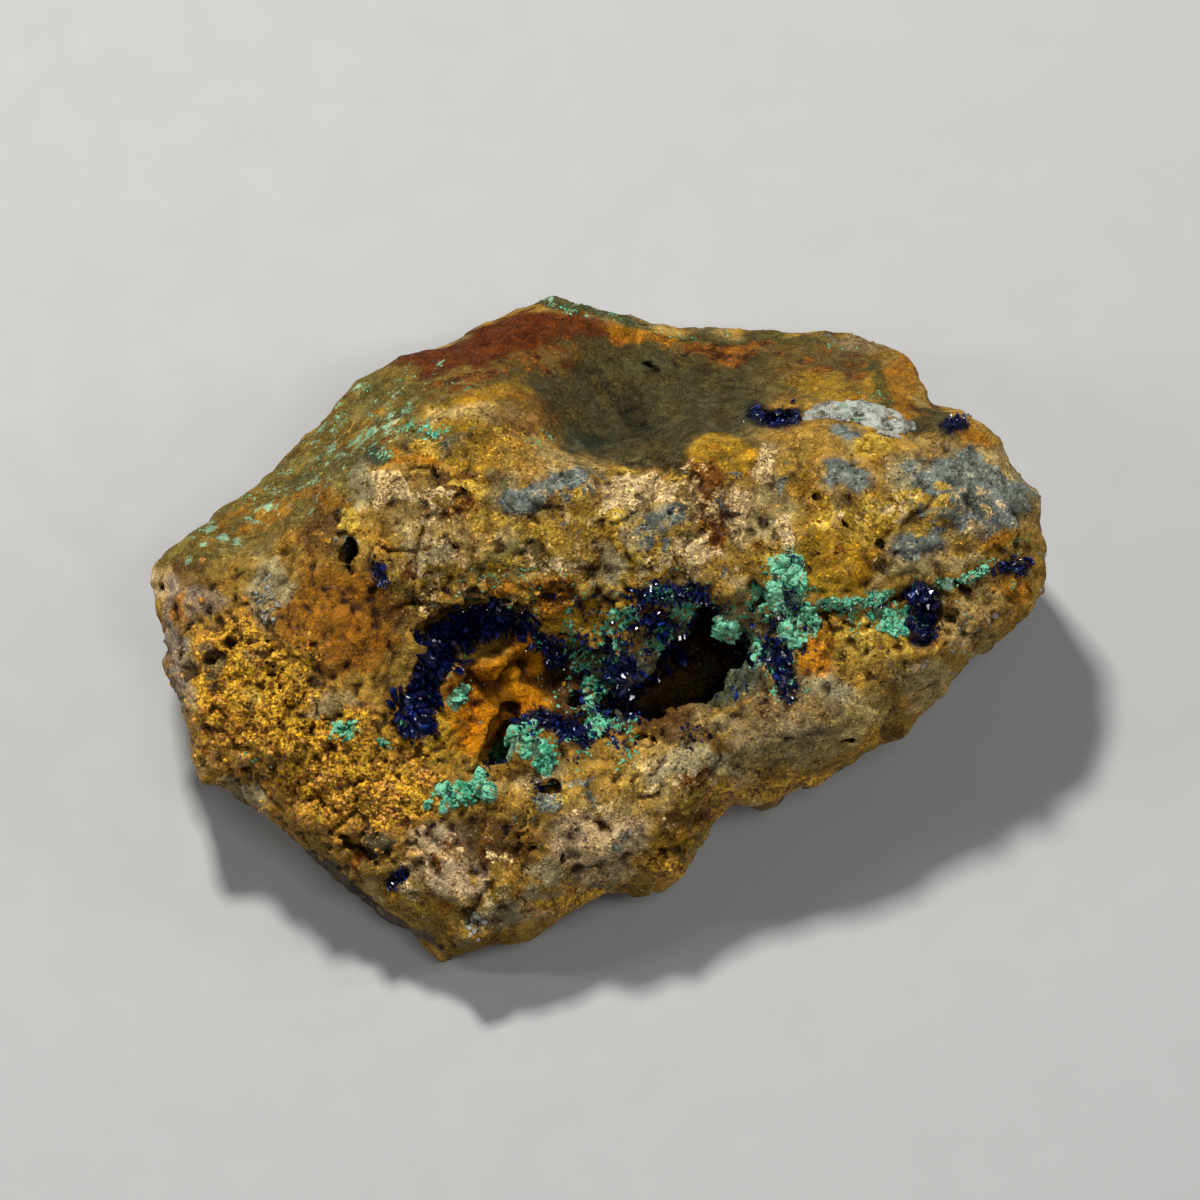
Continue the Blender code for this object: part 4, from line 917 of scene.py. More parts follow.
# (tint, x, y, rx, ry, turn, amount), laid over each other in this order.
ZONES = [
    ("sage", 300, 462, 185, 56, 35, 1), ("sage", 440, 372, 80, 40, 18, 0.8),
    ("dish", 645, 400, 130, 74, -4, 1), ("dish", 560, 372, 70, 44, 10, 0.9),
    ("dish", 790, 366, 110, 34, -3, 0.75), ("rust", 500, 362, 90, 26, 16, 0.6),
    ("red", 480, 342, 100, 17, 15, 1), ("red", 560, 330, 66, 16, -2, 0.9),
    ("pale", 592, 304, 56, 11, -12, 1), ("orange", 640, 334, 40, 12, -8, 0.8),
    ("rust", 716, 346, 46, 14, -5, 0.85), ("leaf", 755, 333, 115, 7, 0, 0.6),
    ("rust", 830, 362, 70, 22, -8, 0.5), ("ochre", 845, 386, 50, 12, -5, 0.7),
    ("leaf", 890, 386, 17, 17, 0, 0.7), ("orange", 912, 386, 14, 36, -15, 0.7),
    ("dish", 934, 428, 34, 16, -10, 0.9), ("ochre", 480, 412, 50, 22, 10, 0.7),
    ("pale", 340, 448, 76, 14, 39, 0.45), ("ochre", 372, 426, 40, 8, 36, 0.45), ("orange", 236, 512, 26, 5, 36, 0.45),
    ("orange", 262, 522, 26, 8, 30, 0.6), ("orange", 318, 500, 28, 7, 12, 0.6), ("rust", 205, 545, 20, 7, 25, 0.5),
    ("teal", 584, 450, 26, 20, 30, 0.5), ("teal", 380, 455, 16, 6, 5, 0.8),
    ("brown", 470, 475, 40, 14, 5, 0.85), ("cream", 396, 492, 28, 24, 0, 0.8),
    ("grey", 364, 480, 17, 22, 0, 0.6), ("rust", 452, 511, 16, 9, 0, 0.8),
    ("tan", 440, 536, 52, 22, -10, 0.8), ("grey", 425, 552, 30, 14, -10, 0.6),
    ("tan", 548, 470, 34, 12, 0, 0.8), ("slate", 524, 506, 25, 16, 20, 1), ("slate", 560, 490, 20, 15, 0, 0.9),
    ("yellow", 596, 520, 30, 24, 10, 1), ("yellow", 640, 556, 30, 22, -10, 1),
    ("yellow", 540, 536, 24, 12, 0, 0.9), ("yellow", 490, 528, 20, 14, 0, 0.8),
    ("grey", 600, 563, 22, 12, 0, 0.75), ("olive", 520, 563, 52, 12, 0, 0.8),
    ("cream", 634, 492, 42, 13, 8, 1), ("taupe", 640, 525, 30, 18, 0, 0.85),
    ("slate", 656, 516, 12, 12, 0, 0.7), ("rust", 704, 520, 21, 38, 4, 1),
    ("orange", 702, 527, 7, 7, 0, 0.8), ("ochre", 722, 455, 34, 20, 0, 0.85), ("rust", 700, 470, 20, 16, 0, 0.7),
    ("cream", 762, 464, 16, 27, 10, 0.95), ("taupe", 762, 516, 30, 30, 0, 0.85),
    ("cream", 737, 510, 11, 22, 15, 0.8), ("cream", 783, 532, 13, 15, 0, 0.8),
    ("cream", 691, 558, 24, 12, 0, 0.95), ("yellow", 765, 568, 16, 12, 0, 0.85),
    # the dark zone at (452, 438) is painted shadow under the ledge
    ("tan", 484, 416, 46, 10, -9, 0.9), ("orange", 420, 452, 23, 7, 2, 0.85), ("dark", 452, 438, 15, 8, 20, 0.6),
    ("pale", 420, 428, 28, 9, 0, 0.6), ("ochre", 474, 446, 26, 13, 0, 0.6), ("brown", 440, 472, 22, 6, 0, 0.7),
    ("slate", 844, 440, 17, 9, 0, 0.85), ("slate", 842, 480, 20, 19, 0, 0.95),
    ("yellow", 874, 448, 30, 12, 0, 0.8), ("taupe", 902, 472, 22, 14, 0, 0.8),
    ("slate", 966, 494, 68, 38, -8, 1), ("slate", 914, 550, 26, 16, 0, 0.85),
    ("yellow", 882, 516, 26, 28, 10, 0.95), ("ochre", 832, 556, 40, 36, 0, 0.9), ("rust", 822, 540, 20, 16, 0, 0.5), ("yellow", 868, 524, 18, 20, 0, 0.7),
    ("ochre", 838, 582, 34, 16, 0, 0.8), ("taupe", 1000, 462, 26, 14, -30, 0.6),
    ("orange", 974, 436, 16, 12, -30, 0.7), ("taupe", 930, 571, 56, 9, 6, 0.85),
    ("orange", 992, 546, 18, 10, 0, 0.85), ("brown", 325, 530, 17, 32, 0, 0.8),
    ("brown", 972, 616, 34, 22, 15, 0.8), ("pink", 968, 627, 8, 10, 0, 0.8),
    ("orange", 1017, 608, 14, 26, 0, 0.85),
    ("boss", 336, 620, 56, 56, 0, 0.95), ("brown", 402, 600, 24, 34, 0, 0.5),
    ("pink", 158, 582, 12, 20, 0, 0.8), ("brown", 190, 582, 24, 22, 0, 0.75),
    ("grey", 270, 598, 17, 30, 0, 0.6), ("tongue", 535, 650, 34, 28, -30, 1),
    ("tongue", 495, 705, 54, 44, -20, 1), ("tongue", 528, 690, 40, 36, 0, 0.8), ("brown", 584, 700, 32, 50, 0, 0.95),
    ("gold", 245, 690, 76, 66, 0, 0.9), ("gold", 330, 765, 92, 62, -30, 0.9),
    ("gold", 410, 790, 50, 40, 0, 0.8), ("ochre", 420, 745, 50, 34, 0, 0.7),
    ("yellow", 253, 696, 20, 12, 0, 0.8), ("taupe", 330, 704, 34, 9, 0, 0.8),
    ("dark", 211, 664, 15, 15, 0, 0.7), ("dark", 255, 650, 13, 10, 0, 0.7),
    ("dark", 392, 848, 18, 12, 0, 0.7), ("grey", 243, 789, 26, 11, -25, 0.8),
    ("taupe", 181, 672, 12, 46, 8, 0.85), ("rust", 369, 870, 12, 11, 0, 0.8),
    ("cream", 408, 882, 8, 14, 0, 0.8), ("pink", 450, 865, 34, 36, 0, 0.85),
    ("orange", 438, 911, 14, 10, 0, 0.9), ("grey", 520, 908, 42, 18, 15, 0.7),
    ("gold", 562, 900, 42, 10, 15, 0.8), ("grey", 545, 868, 26, 11, 0, 0.7),
    ("brown", 495, 842, 48, 24, 0, 0.75), ("cream", 600, 832, 44, 44, 0, 0.85),
    ("tan", 612, 836, 40, 26, 0, 0.6), ("pink", 598, 844, 46, 34, 0, 0.9), ("taupe", 760, 738, 120, 34, 18, 0.8),
    ("side", 776, 718, 80, 26, 20, 0.9), ("grey", 690, 764, 34, 16, 10, 0.6), ("taupe", 725, 782, 38, 18, 10, 0.75), ("brown", 680, 810, 22, 18, 0, 0.7),
    ("brown", 895, 724, 13, 12, 0, 0.8), ("ochre", 672, 848, 38, 28, 0, 0.75), ("gold", 668, 860, 30, 20, 0, 0.8),
    ("gold", 786, 787, 46, 12, 12, 0.85), ("gold", 715, 797, 16, 18, 0, 0.85),
    ("tongue", 815, 654, 16, 32, 0, 0.8), ("yellow", 870, 640, 44, 20, 0, 0.8),
    ("taupe", 925, 682, 28, 22, 20, 0.8), ("tan", 985, 622, 40, 26, 20, 0.6),
    ("cream", 921, 665, 9, 7, 0, 0.8), ("cream", 955, 648, 9, 7, 0, 0.8),
    # the two dark zones on the cavity's wall and inside it: partly its dark green lining, mostly painted shade inside
    # the hollow
    ("brown", 640, 700, 46, 44, 0, 0.8), ("dark", 618, 688, 30, 44, 10, 0.8), ("dark", 712, 660, 62, 40, 6, 0.9),
    ("orange", 520, 594, 52, 11, 2, 0.7), ("tongue", 575, 604, 26, 11, 0, 0.7), ("rust", 556, 592, 22, 8, 0, 0.6),
    ("ochre", 600, 612, 46, 14, 0, 0.85), ("gold", 606, 626, 26, 14, 0, 0.6), ("orange", 640, 610, 30, 12, 0, 0.7),
    # charcoal on the lower-left side facet: partly the facet's own dark grey, partly painted shade on that side
    ("charcoal", 332, 877, 146, 9, -37.5, 0.95), ("ash", 172, 640, 11, 66, 10, 0.9),
    ("ash", 200, 605, 30, 12, 0, 0.7), ("orange", 176, 608, 9, 9, 0, 0.8),
    ("brown", 440, 596, 30, 9, 8, 0.7), ("ochre", 590, 625, 30, 16, 0, 0.7),
    ("grey", 830, 690, 26, 14, 15, 0.6), ("ochre", 700, 742, 24, 9, 10, 0.6),
    ("charcoal", 690, 842, 20, 7, 50, 0.5), ("rust", 556, 812, 18, 12, 0, 0.6),
    ("brown", 520, 420, 46, 22, 12, 0.6), ("brown", 676, 732, 44, 15, -15, 0.75),
]
GLOSSY = {"gold": 1.0, "dark": 0.7, "slate": 0.1, "cream": 0.25, "boss": 0.15, "charcoal": 0.3}


def path_distance(x, y, path):
    """Distance in mm, in the front view, to a line of stations."""
    best = np.full(np.shape(x), 1e9)
    for (ax, ay), (bx, by) in zip(path, path[1:]):
        ex, ey = bx - ax, by - ay
        t = np.clip(((x - ax) * ex + (y - ay) * ey) / (ex * ex + ey * ey), 0, 1)
        best = np.minimum(best, np.hypot(x - ax - t * ex, y - ay - t * ey))
    return best * UNIT


def colour_stone(p, level):
    """Ground tint, gloss, coarseness and patch weights at front-frame points p."""
    warp = p + 1.3 * np.stack([crumble(p, 4.2, s) for s in (61, 62, 63)], 1) \
             + 0.80 * np.stack([crumble(p, 1.7, s) for s in (64, 65, 66)], 1) \
             + 0.40 * np.stack([crumble(p, 0.7, s) for s in (67, 68, 69)], 1)
    x, y = X_MID + warp[:, 0] / UNIT, Y_MID - warp[:, 1] / UNIT
    tint = np.tile(TINTS["base"], (len(p), 1)).astype(float)
    gloss = np.zeros(len(p))
    layer = {name: np.zeros(len(p)) for name in CRISP}

    def lay(name, a):
        tint[:] += (0.75 * a if name in CRISP else a)[:, None] * (np.array(TINTS[name]) - tint)
        for other in CRISP:
            if other == name:
                layer[other] += a * (1 - layer[other])
            else:
                layer[other] *= 1 - 0.75 * a

    for name, size, seed, cut in (("taupe", 4.6, 72, 0.22), ("brown", 3.0, 74, 0.30)):
        lay(name, 0.7 * step_up(cut, cut + 0.25, fractal(p, size, seed, 3)))
    for name, cx, cy, rx, ry, turn, amount in ZONES:
        a = amount * spot(x, y, cx, cy, rx, ry, turn, 0.50 if name in CRISP else 0.22)
        if a.any():
            lay(name, a)
            gloss += a * (GLOSSY.get(name, 0.0) - gloss)
    # every broken face is dotted with the other minerals
    x, y = X_MID + p[:, 0] / UNIT, Y_MID - p[:, 1] / UNIT
    ahead = step_up(-2.5, 0.5, p[:, 2] - level)
    broken = texture_map("breccia", x, y)
    for name, base, seed in (("rust", 0.30, 121), ("slate", 0.33, 122), ("yellow", 0.36, 123), ("cream", 0.34, 124)):
        own = np.clip(base + 0.5 * fractal(p, 5.5, seed, 2), 0, 0.6)
        layer[name] = np.minimum(np.maximum(layer[name], own * broken), 0.80)
    for name in ("rust", "yellow"):
        layer[name] = np.maximum(layer[name], 0.30 * texture_map("nodular", x, y))
    # flanks and back, which the survey doesn't reach
    side = np.tile(TINTS["side"], (len(p), 1)).astype(float)
    for name, size, seed, cut in (("ochre", 9.0, 81, 0.05), ("taupe", 8.0, 82, 0.22),
                                  ("rust", 6.0, 83, 0.25), ("leaf", 5.0, 85, 0.45), ("brown", 2.6, 86, 0.30)):
        a = 0.75 * step_up(cut, cut + 0.22, fractal(p, size, seed, 3))
        side += a[:, None] * (np.array(TINTS[name]) - side)
    tint = side + ahead[:, None] * (tint - side)
    gloss *= ahead
    for name, size, seed, low in (("rust", 6.0, 87, 0.18), ("slate", 8.0, 88, 0.26), ("yellow", 7.0, 89, 0.24),
                                  ("cream", 5.0, 90, 0.14), ("mint", 9.0, 99, 0.0), ("gold", 9.0, 100, 0.0)):
        flank = np.clip(low + 0.45 * fractal(p, size, seed, 2), 0, 0.8)
        layer[name] = flank + ahead * (layer[name] - flank)
    # single fragments differ
    bent = p + 0.9 * np.stack([crumble(p, 2.4, k) for k in (21, 27, 28)], 1)
    _, _, _, fact2 = cells(bent, 3.6, 31)
    _, _, _, fact = cells(p + 0.25 * crumble(p, 1.0, 29)[:, None], 1.3, 32)
    coarse = np.clip(broken + 0.5 * texture_map("nodular", x, y) + 0.45, 0, 1)
    coarse = np.where(ahead < 0.5, 0.8, coarse)
    tint *= (1 + coarse * (0.30 * (fact[:, 0] - 0.5) + 0.30 * (fact2[:, 0] - 0.5)))[:, None]
    # the ground under the crystal crusts takes their colour
    for node, (slot_name, half_width, half_thick, path) in DRUSES.items():
        d = path_distance(x, y, path) + 0.5 * crumble(p, 1.2, 98)
        a = ahead * step_up(half_width * 1.15, half_width * 0.6, d) * (0.45 if node == "azurite_curtain" else 1)
        if slot_name == "azurite":
            tint += a[:, None] * (np.array(TINTS[slot_name]) - tint)
            for name in CRISP:
                layer[name] *= 1 - a
        elif slot_name == "malachite":
            layer["mint"] = np.maximum(layer["mint"], 0.90 * a)
    # malachite stain in fine specks
    stain = np.maximum(spot(x, y, 300, 465, 170, 50, 35, 0.3), 0.9 * spot(x, y, 590, 306, 60, 14, -10))
    for amount, cx, cy, rx, ry, turn in ((0.6, 430, 400, 70, 50, 20), (0.9, 530, 578, 60, 14, 0),
                                         (0.9, 600, 650, 60, 70, 0), (0.7, 700, 640, 60, 30, 0), (0.7, 880, 610, 90, 26, 8),
                                         (0.8, 245, 790, 26, 9, -25), (0.5, 880, 338, 60, 9, 0)):
        stain = np.maximum(stain, amount * spot(x, y, cx, cy, rx, ry, turn))
    layer["mint"] = np.maximum(layer["mint"], ahead * stain * (0.36 + 0.30 * fractal(p, 2.4, 91, 3)))
    layer["yellow"] = np.maximum(layer["yellow"], 0.30 * ahead * stain)
    layer["rust"] = np.maximum(layer["rust"], 0.34 * ahead * stain)
    return np.clip(tint, 0.002, 1), gloss, coarse, layer


# ------------------------------------------------------------------ the fine stone
us, vs, ws, field = sculpt()
spots, quads = surface_nets(us, vs, ws, field)
solid = field < 0
deep = solid.shape[2] - 1 - solid[:, :, ::-1].argmax(2)
FRONT = np.where(solid.any(2), ws[deep], -30.0)      # depth of the front seen straight on


def front_depth(x, y):
    u, v = to_front(np.asarray(x, float), np.asarray(y, float))
    i = np.clip(np.round((u - us[0]) / STEP).astype(int), 0, len(us) - 1)
    j = np.clip(np.round((v - vs[0]) / STEP).astype(int), 0, len(vs) - 1)
    return FRONT[i, j]


spots, quads = largest_sheet(spots, quads)
rough_mesh = mesh_object("gossan_raw", lay_down(spots), [quads], True, GOSSAN)
co = stand_up(points_of(rough_mesh.data))
ahead = step_up(-6.0, 0.0, co[:, 2] - widest_depth(co[:, 0], co[:, 1]))
group = rough_mesh.vertex_groups.new(name="thin")
for level in range(6):
    chosen = np.nonzero(np.round((1 - ahead) * 5) == level)[0]
    group.add(chosen.tolist(), 0.12 + 0.88 * level / 5, "REPLACE")
thin = rough_mesh.modifiers.new("thin", "DECIMATE")
thin.ratio = min(1.0, STONE_TRIS / (2 * len(rough_mesh.data.polygons)))
thin.vertex_group = "thin"
thin.vertex_group_factor = 1.0
shown = rough_mesh.evaluated_get(bpy.context.evaluated_depsgraph_get())
stone_mesh = bpy.data.meshes.new_from_object(shown)
bpy.data.objects.remove(rough_mesh, do_unlink=True)
stone = bpy.data.objects.new("gossan_stone", stone_mesh)
bpy.context.scene.collection.objects.link(stone)
stone_mesh.shade_smooth()

CO = stand_up(points_of(stone_mesh))
NO = unit(turn_up(normals_of(stone_mesh)))
TRI = triangles_of(stone_mesh)
LEVEL = widest_depth(CO[:, 0], CO[:, 1])


def hollowness(co, no, tri, rounds):
    """How far each point lies below the mean of its surroundings, in mm."""
    e = np.concatenate([tri[:, [0, 1]], tri[:, [1, 2]], tri[:, [2, 0]]])
    e = np.concatenate([e, e[:, ::-1]])
    count = np.bincount(e[:, 0], minlength=len(co))[:, None]
    q = co.copy()
    for _ in range(rounds):
        q = np.stack([np.bincount(e[:, 0], q[e[:, 1], a], len(co)) for a in range(3)], 1) / count
    return ((q - co) * no).sum(1)


tint, gloss, coarse, layer = colour_stone(CO, LEVEL)
for mineral in CRISP:
    paint(stone_mesh, mineral, layer[mineral])
# sunk is stored as the hollow attribute, from which the material paints shade into the recesses
sunk = hollowness(CO, NO, TRI, 5) * 4.5 + hollowness(CO, NO, TRI, 28) * 1.6
base_plane = points_of(stone_mesh)[:, 2] < 2e-4
paint(stone_mesh, "tint", tint)
paint(stone_mesh, "gloss", gloss)
paint(stone_mesh, "coarse", coarse)
paint(stone_mesh, "hollow", np.where(base_plane, 0, np.clip(sunk - 0.05, 0, 0.85)))
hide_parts("matrix")
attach(stone, "root")

# ------------------------------------------------------------------ scattering
CORNERS = CO[TRI]
FACE_N = np.cross(CORNERS[:, 1] - CORNERS[:, 0], CORNERS[:, 2] - CORNERS[:, 0])
AREA = np.linalg.norm(FACE_N, axis=1) / 2
MID = CORNERS.mean(1)
MID_N = unit(NO[TRI].sum(1))
MX, MY = X_MID + MID[:, 0] / UNIT, Y_MID - MID[:, 1] / UNIT
MID_AHEAD = step_up(-2.0, 0.5, MID[:, 2] - LEVEL[TRI[:, 0]])
MID_SUNK = sunk[TRI].mean(1)


def scatter(weight, count, rng):
    """Random points on the stone, crowded by weight: places and outward normals."""
    p = weight * AREA
    total = p.sum()
    if total <= 0 or count < 1:
        return np.zeros((0, 3)), np.zeros((0, 3))
    pick = rng.choice(len(p), int(count), p=p / total)
    a, b = rng.random((2, int(count)))
    flip = a + b > 1
    a[flip], b[flip] = 1 - a[flip], 1 - b[flip]
    c = CORNERS[pick]
    return c[:, 0] + a[:, None] * (c[:, 1] - c[:, 0]) + b[:, None] * (c[:, 2] - c[:, 0]), MID_N[pick]


def footprint(path, half_width, ragged=0.35):
    """Weight of the stone's triangles within a crust's footprint."""
    d = path_distance(MX, MY, path)
    d = d + ragged * half_width * crumble(MID, 1.6, 101)
    line = np.array(path, float)
    depth = np.array([front_depth(x, y) for x, y in path])
    near = np.full(len(MX), 1e9)
    want = np.zeros(len(MX))
    for (px, py), pw in zip(line, depth):
        r = np.hypot(MX - px, MY - py)
        closer = r < near
        near[closer] = r[closer]
        want[closer] = pw
    level_ok = step_up(5.5, 4.0, np.abs(MID[:, 2] - want))
    return step_up(1.15, 0.75, d / half_width) * level_ok * (MID_N[:, 2] > -0.35)

# ------------------------------------------------------------------ azurite
BLADE = np.array([[0.5, 0, -0.3], [0.3, 0.5, -0.3], [-0.3, 0.5, -0.3], [-0.5, 0, -0.3],
                  [-0.3, -0.5, -0.3], [0.3, -0.5, -0.3],
                  [0.5, 0, 0.70], [0.3, 0.5, 0.76], [-0.3, 0.5, 0.80], [-0.5, 0, 0.76],
                  [-0.3, -0.5, 0.74], [0.3, -0.5, 0.70],
                  [0.20, 0.0, 1.0], [-0.24, 0.0, 0.95]])
BLADE_QUADS = np.array([[i, (i + 1) % 6, (i + 1) % 6 + 6, i + 6] for i in range(6)]
                       + [[7, 8, 13, 12], [10, 11, 12, 13]])
BLADE_TRIS = np.array([[6, 7, 12], [8, 9, 13], [9, 10, 13], [11, 6, 12],
                       [0, 5, 4], [0, 4, 3], [0, 3, 2], [0, 2, 1]])


def blades(p, n, length, rng, tilt=0.9, slim=1.0):
    """Tabular wedge-tipped crystals standing on points p."""
    lean = np.stack([crumble(p, 1.5, k) for k in (111, 112, 113)], 1)
    axis = unit(n + 1.5 * tilt * lean + 0.22 * tilt * rng.normal(size=n.shape))
    axis = np.where((axis * n).sum(1, keepdims=True) < 0.05, unit(axis + 1.1 * n), axis)
    s, t = frames_for(axis, rng)
    wide = length * rng.uniform(0.34, 0.66, len(p)) * slim
    flat = wide * rng.uniform(0.28, 0.60, len(p))
    v, f = many(BLADE, [BLADE_QUADS, BLADE_TRIS], p, s * wide[:, None], t * flat[:, None],
                axis * length[:, None])
    # tone: random for each blade, rising towards the tip; the darker bases are painted shade among the crowded blades
    tone = np.repeat(rng.random(len(p)), len(BLADE)) * 0.6 + 0.4 * np.tile(np.clip(BLADE[:, 2], 0, 1), len(p))
    return v, f, tone


def join(parts):
    """Joins (points, faces, values) sets into one."""
    points, faces, values, shift = [], [], [], 0
    for v, f, t in parts:
        points.append(v)
        faces.extend(np.asarray(g) + shift for g in f if len(g))
        values.append(t)
        shift += len(v)
    return np.concatenate(points), faces, np.concatenate(values)


def crystal_piece(name, parts, smooth, material, node=None, key="tone"):
    v, f, t = join(parts)
    ob = mesh_object(name, lay_down(v), f, smooth, material)
    paint(ob.data, key, t)
    if node:
        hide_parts(node)
    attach(ob, "root")
    return ob


def azurite_group(path, half_width, seed, density=11.0, size=(0.45, 1.5), ragged=0.6):
    rng = np.random.default_rng(seed)
    w = footprint(path, half_width * 1.12, ragged) * (0.08 + 0.92 * step_up(-0.42, 0.05, fractal(MID, 2.2, 108, 2)))
    area = float((w * AREA).sum())
    count = int(min(1400, max(14, area * density)))
    p, n = scatter(w, count, rng)
    lo, hi = size
    length = lo + (hi - lo) * rng.random(len(p)) ** 2.8
    return [blades(p - 0.15 * n, n, length, rng)]


for number, (node, (slot, half_width, half_thick, path)) in enumerate(sorted(DRUSES.items())):
    if slot != "azurite":
        continue
    big = half_width > 1.0
    flat = node in ("azurite_top_pocket", "azurite_ledge_spot")
    spread = 0.85 if flat else 0.56 if node == "azurite_curtain" else 0.72 if node == "azurite_right_pocket" else 0.9 if node in (
        "azurite_cavity_wall", "azurite_under_curtain") else 1.08
    parts = azurite_group(path, half_width * spread, 500 + number,
                          size=(0.25, 0.9) if flat else (0.35, 1.9) if big else (0.30, 1.2))
    crystal_piece(node + "_crystals", parts, False, AZURITE, node)

# Blue that spreads thinly between the groups: (x, y, rx, ry, turn, blades, longest).
BLUE_SPOTS = [
    (668, 624, 44, 42, 0, 210, 0.7), (606, 690, 34, 56, 10, 320, 0.7), (632, 632, 30, 20, 0, 100, 0.6),
    (772, 640, 44, 36, 0, 240, 0.7), (575, 740, 50, 22, -14, 130, 0.7), (716, 612, 16, 26, 0, 70, 0.7),
    (536, 608, 60, 12, 0, 60, 0.5), (604, 604, 40, 12, 0, 60, 0.6),
    (604, 664, 34, 26, -30, 150, 1.1), (600, 705, 26, 40, 0, 170, 1.2), (560, 728, 40, 14, -10, 120, 1.0),
    (660, 630, 36, 34, 0, 120, 1.1), (700, 604, 20, 14, 0, 60, 1.0), (640, 690, 30, 30, 0, 120, 1.1),
    (775, 645, 34, 22, 0, 150, 1.1), (798, 562, 16, 9, 0, 110, 0.8), (788, 596, 14, 30, 0, 60, 0.6), (812, 622, 10, 12, 0, 40, 0.7), (792, 600, 16, 8, 30, 40, 0.6), (774, 697, 12, 7, 0, 26, 0.9),
    (532, 784, 10, 7, 0, 22, 0.8), (490, 766, 16, 10, 0, 46, 0.9), (876, 598, 12, 8, 0, 24, 0.7),
    (905, 600, 14, 10, 0, 30, 0.9), (930, 632, 14, 8, 0, 26, 0.8), (616, 640, 10, 8, 0, 18, 0.9),
    (321, 806, 7, 3, -30, 9, 0.5), (346, 795, 4, 3, 0, 5, 0.5), (377, 573, 8, 8, 0, 10, 0.7),
    (725, 645, 12, 10, 0, 26, 0.8), (845, 609, 14, 6, 0, 18, 0.6), (440, 640, 24, 18, 0, 70, 1.1),
    (415, 712, 14, 30, 0, 60, 1.0), (538, 640, 30, 18, -35, 70, 0.9), (752, 420, 8, 6, 0, 10, 0.7),
    (800, 628, 10, 20, 0, 26, 0.8), (984, 570, 14, 5, 0, 12, 0.5), (1022, 568, 12, 6, 0, 14, 0.6),
    (690, 735, 24, 12, 0, 40, 0.9), (625, 745, 16, 9, 0, 26, 0.9), (742, 690, 22, 10, 0, 30, 0.9),
]
rng = np.random.default_rng(77)
parts = []
for cx, cy, rx, ry, turn, count, longest in BLUE_SPOTS:
    w = spot(MX, MY, cx, cy, rx, ry, turn, 0.4) * (MID[:, 2] > -14) * MID_AHEAD \
        * step_up(-0.5, 0.3, crumble(MID, 1.4, 102))
    p, n = scatter(w, count, rng)
    parts.append(blades(p - 0.12 * n, n, 0.3 + (longest - 0.3) * rng.random(len(p)) ** 1.8, rng))
crystal_piece("azurite_scattered_crystals", parts, False, AZURITE)

# ------------------------------------------------------------------ malachite
BALLS = {2: ball_template(2), 3: ball_template(3), 1: ball_template(1)}


def buds(p, n, radius, rng, detail=2, rough=0.42):
    """Round velvety buds centred near points p."""
    v0, f0 = BALLS[detail]
    axis = unit(n + 0.5 * rng.normal(size=n.shape))
    s, t = frames_for(axis, rng)
    r = radius[:, None]
    v, f = many(v0, [f0], p, s * r * rng.uniform(0.85, 1.15, (len(p), 1)), t * r, axis * r * rng.uniform(0.8, 1.1, (len(p), 1)))
    size = np.repeat(radius, len(v0))
    out = v - np.repeat(p, len(v0), 0)
    grain = 0.8 * crumble(v, 0.36, 201) + 0.6 * crumble(v, 0.17, 202)
    v = v + out * (rough * grain)[:, None]
    # tone is lighter on the side facing out from the stone and on raised grain: painted shade on the sides and dips,
    # over a random tone for each bud
    lift = (out * np.repeat(n, len(v0), 0)).sum(1) / size
    tone = 0.45 + 0.4 * lift + 0.15 * grain + np.repeat(rng.uniform(-0.15, 0.15, len(p)), len(v0))
    return v, f, np.clip(tone, 0, 1)


def lobes(p, n, radius, rng):
    """Flattened lobes with crinkled rims, paler towards the rim."""
    v0, f0 = BALLS[2]
    axis = unit(n + 0.35 * rng.normal(size=n.shape))
    s, t = frames_for(axis, rng)
    r = radius[:, None]
    v, f = many(v0, [f0], p, s * r * rng.uniform(0.8, 1.35, (len(p), 1)), t * r * rng.uniform(0.6, 1.1, (len(p), 1)),
                axis * r * rng.uniform(0.20, 0.45, (len(p), 1)))
    out = v - np.repeat(p, len(v0), 0)
    crinkle, ridge = fractal(v, 0.6, 203, 2), 1 - 2.4 * np.abs(fractal(v, 0.4, 204, 2))
    v = v + out * (0.75 * crinkle + 0.28 * ridge)[:, None]
    edge = np.tile(1 - np.abs(v0[:, 2]), len(p))
    own = np.repeat(rng.uniform(-0.30, 0.30, len(p)), len(v0))
    # paler at the rim and random for each lobe; the crinkle and ridge terms lighten what the crinkles push out, painted
    # shade in their dents
    return v, f, np.clip(0.30 + 0.40 * edge + 0.6 * crinkle + 0.20 * ridge + own, 0, 1)


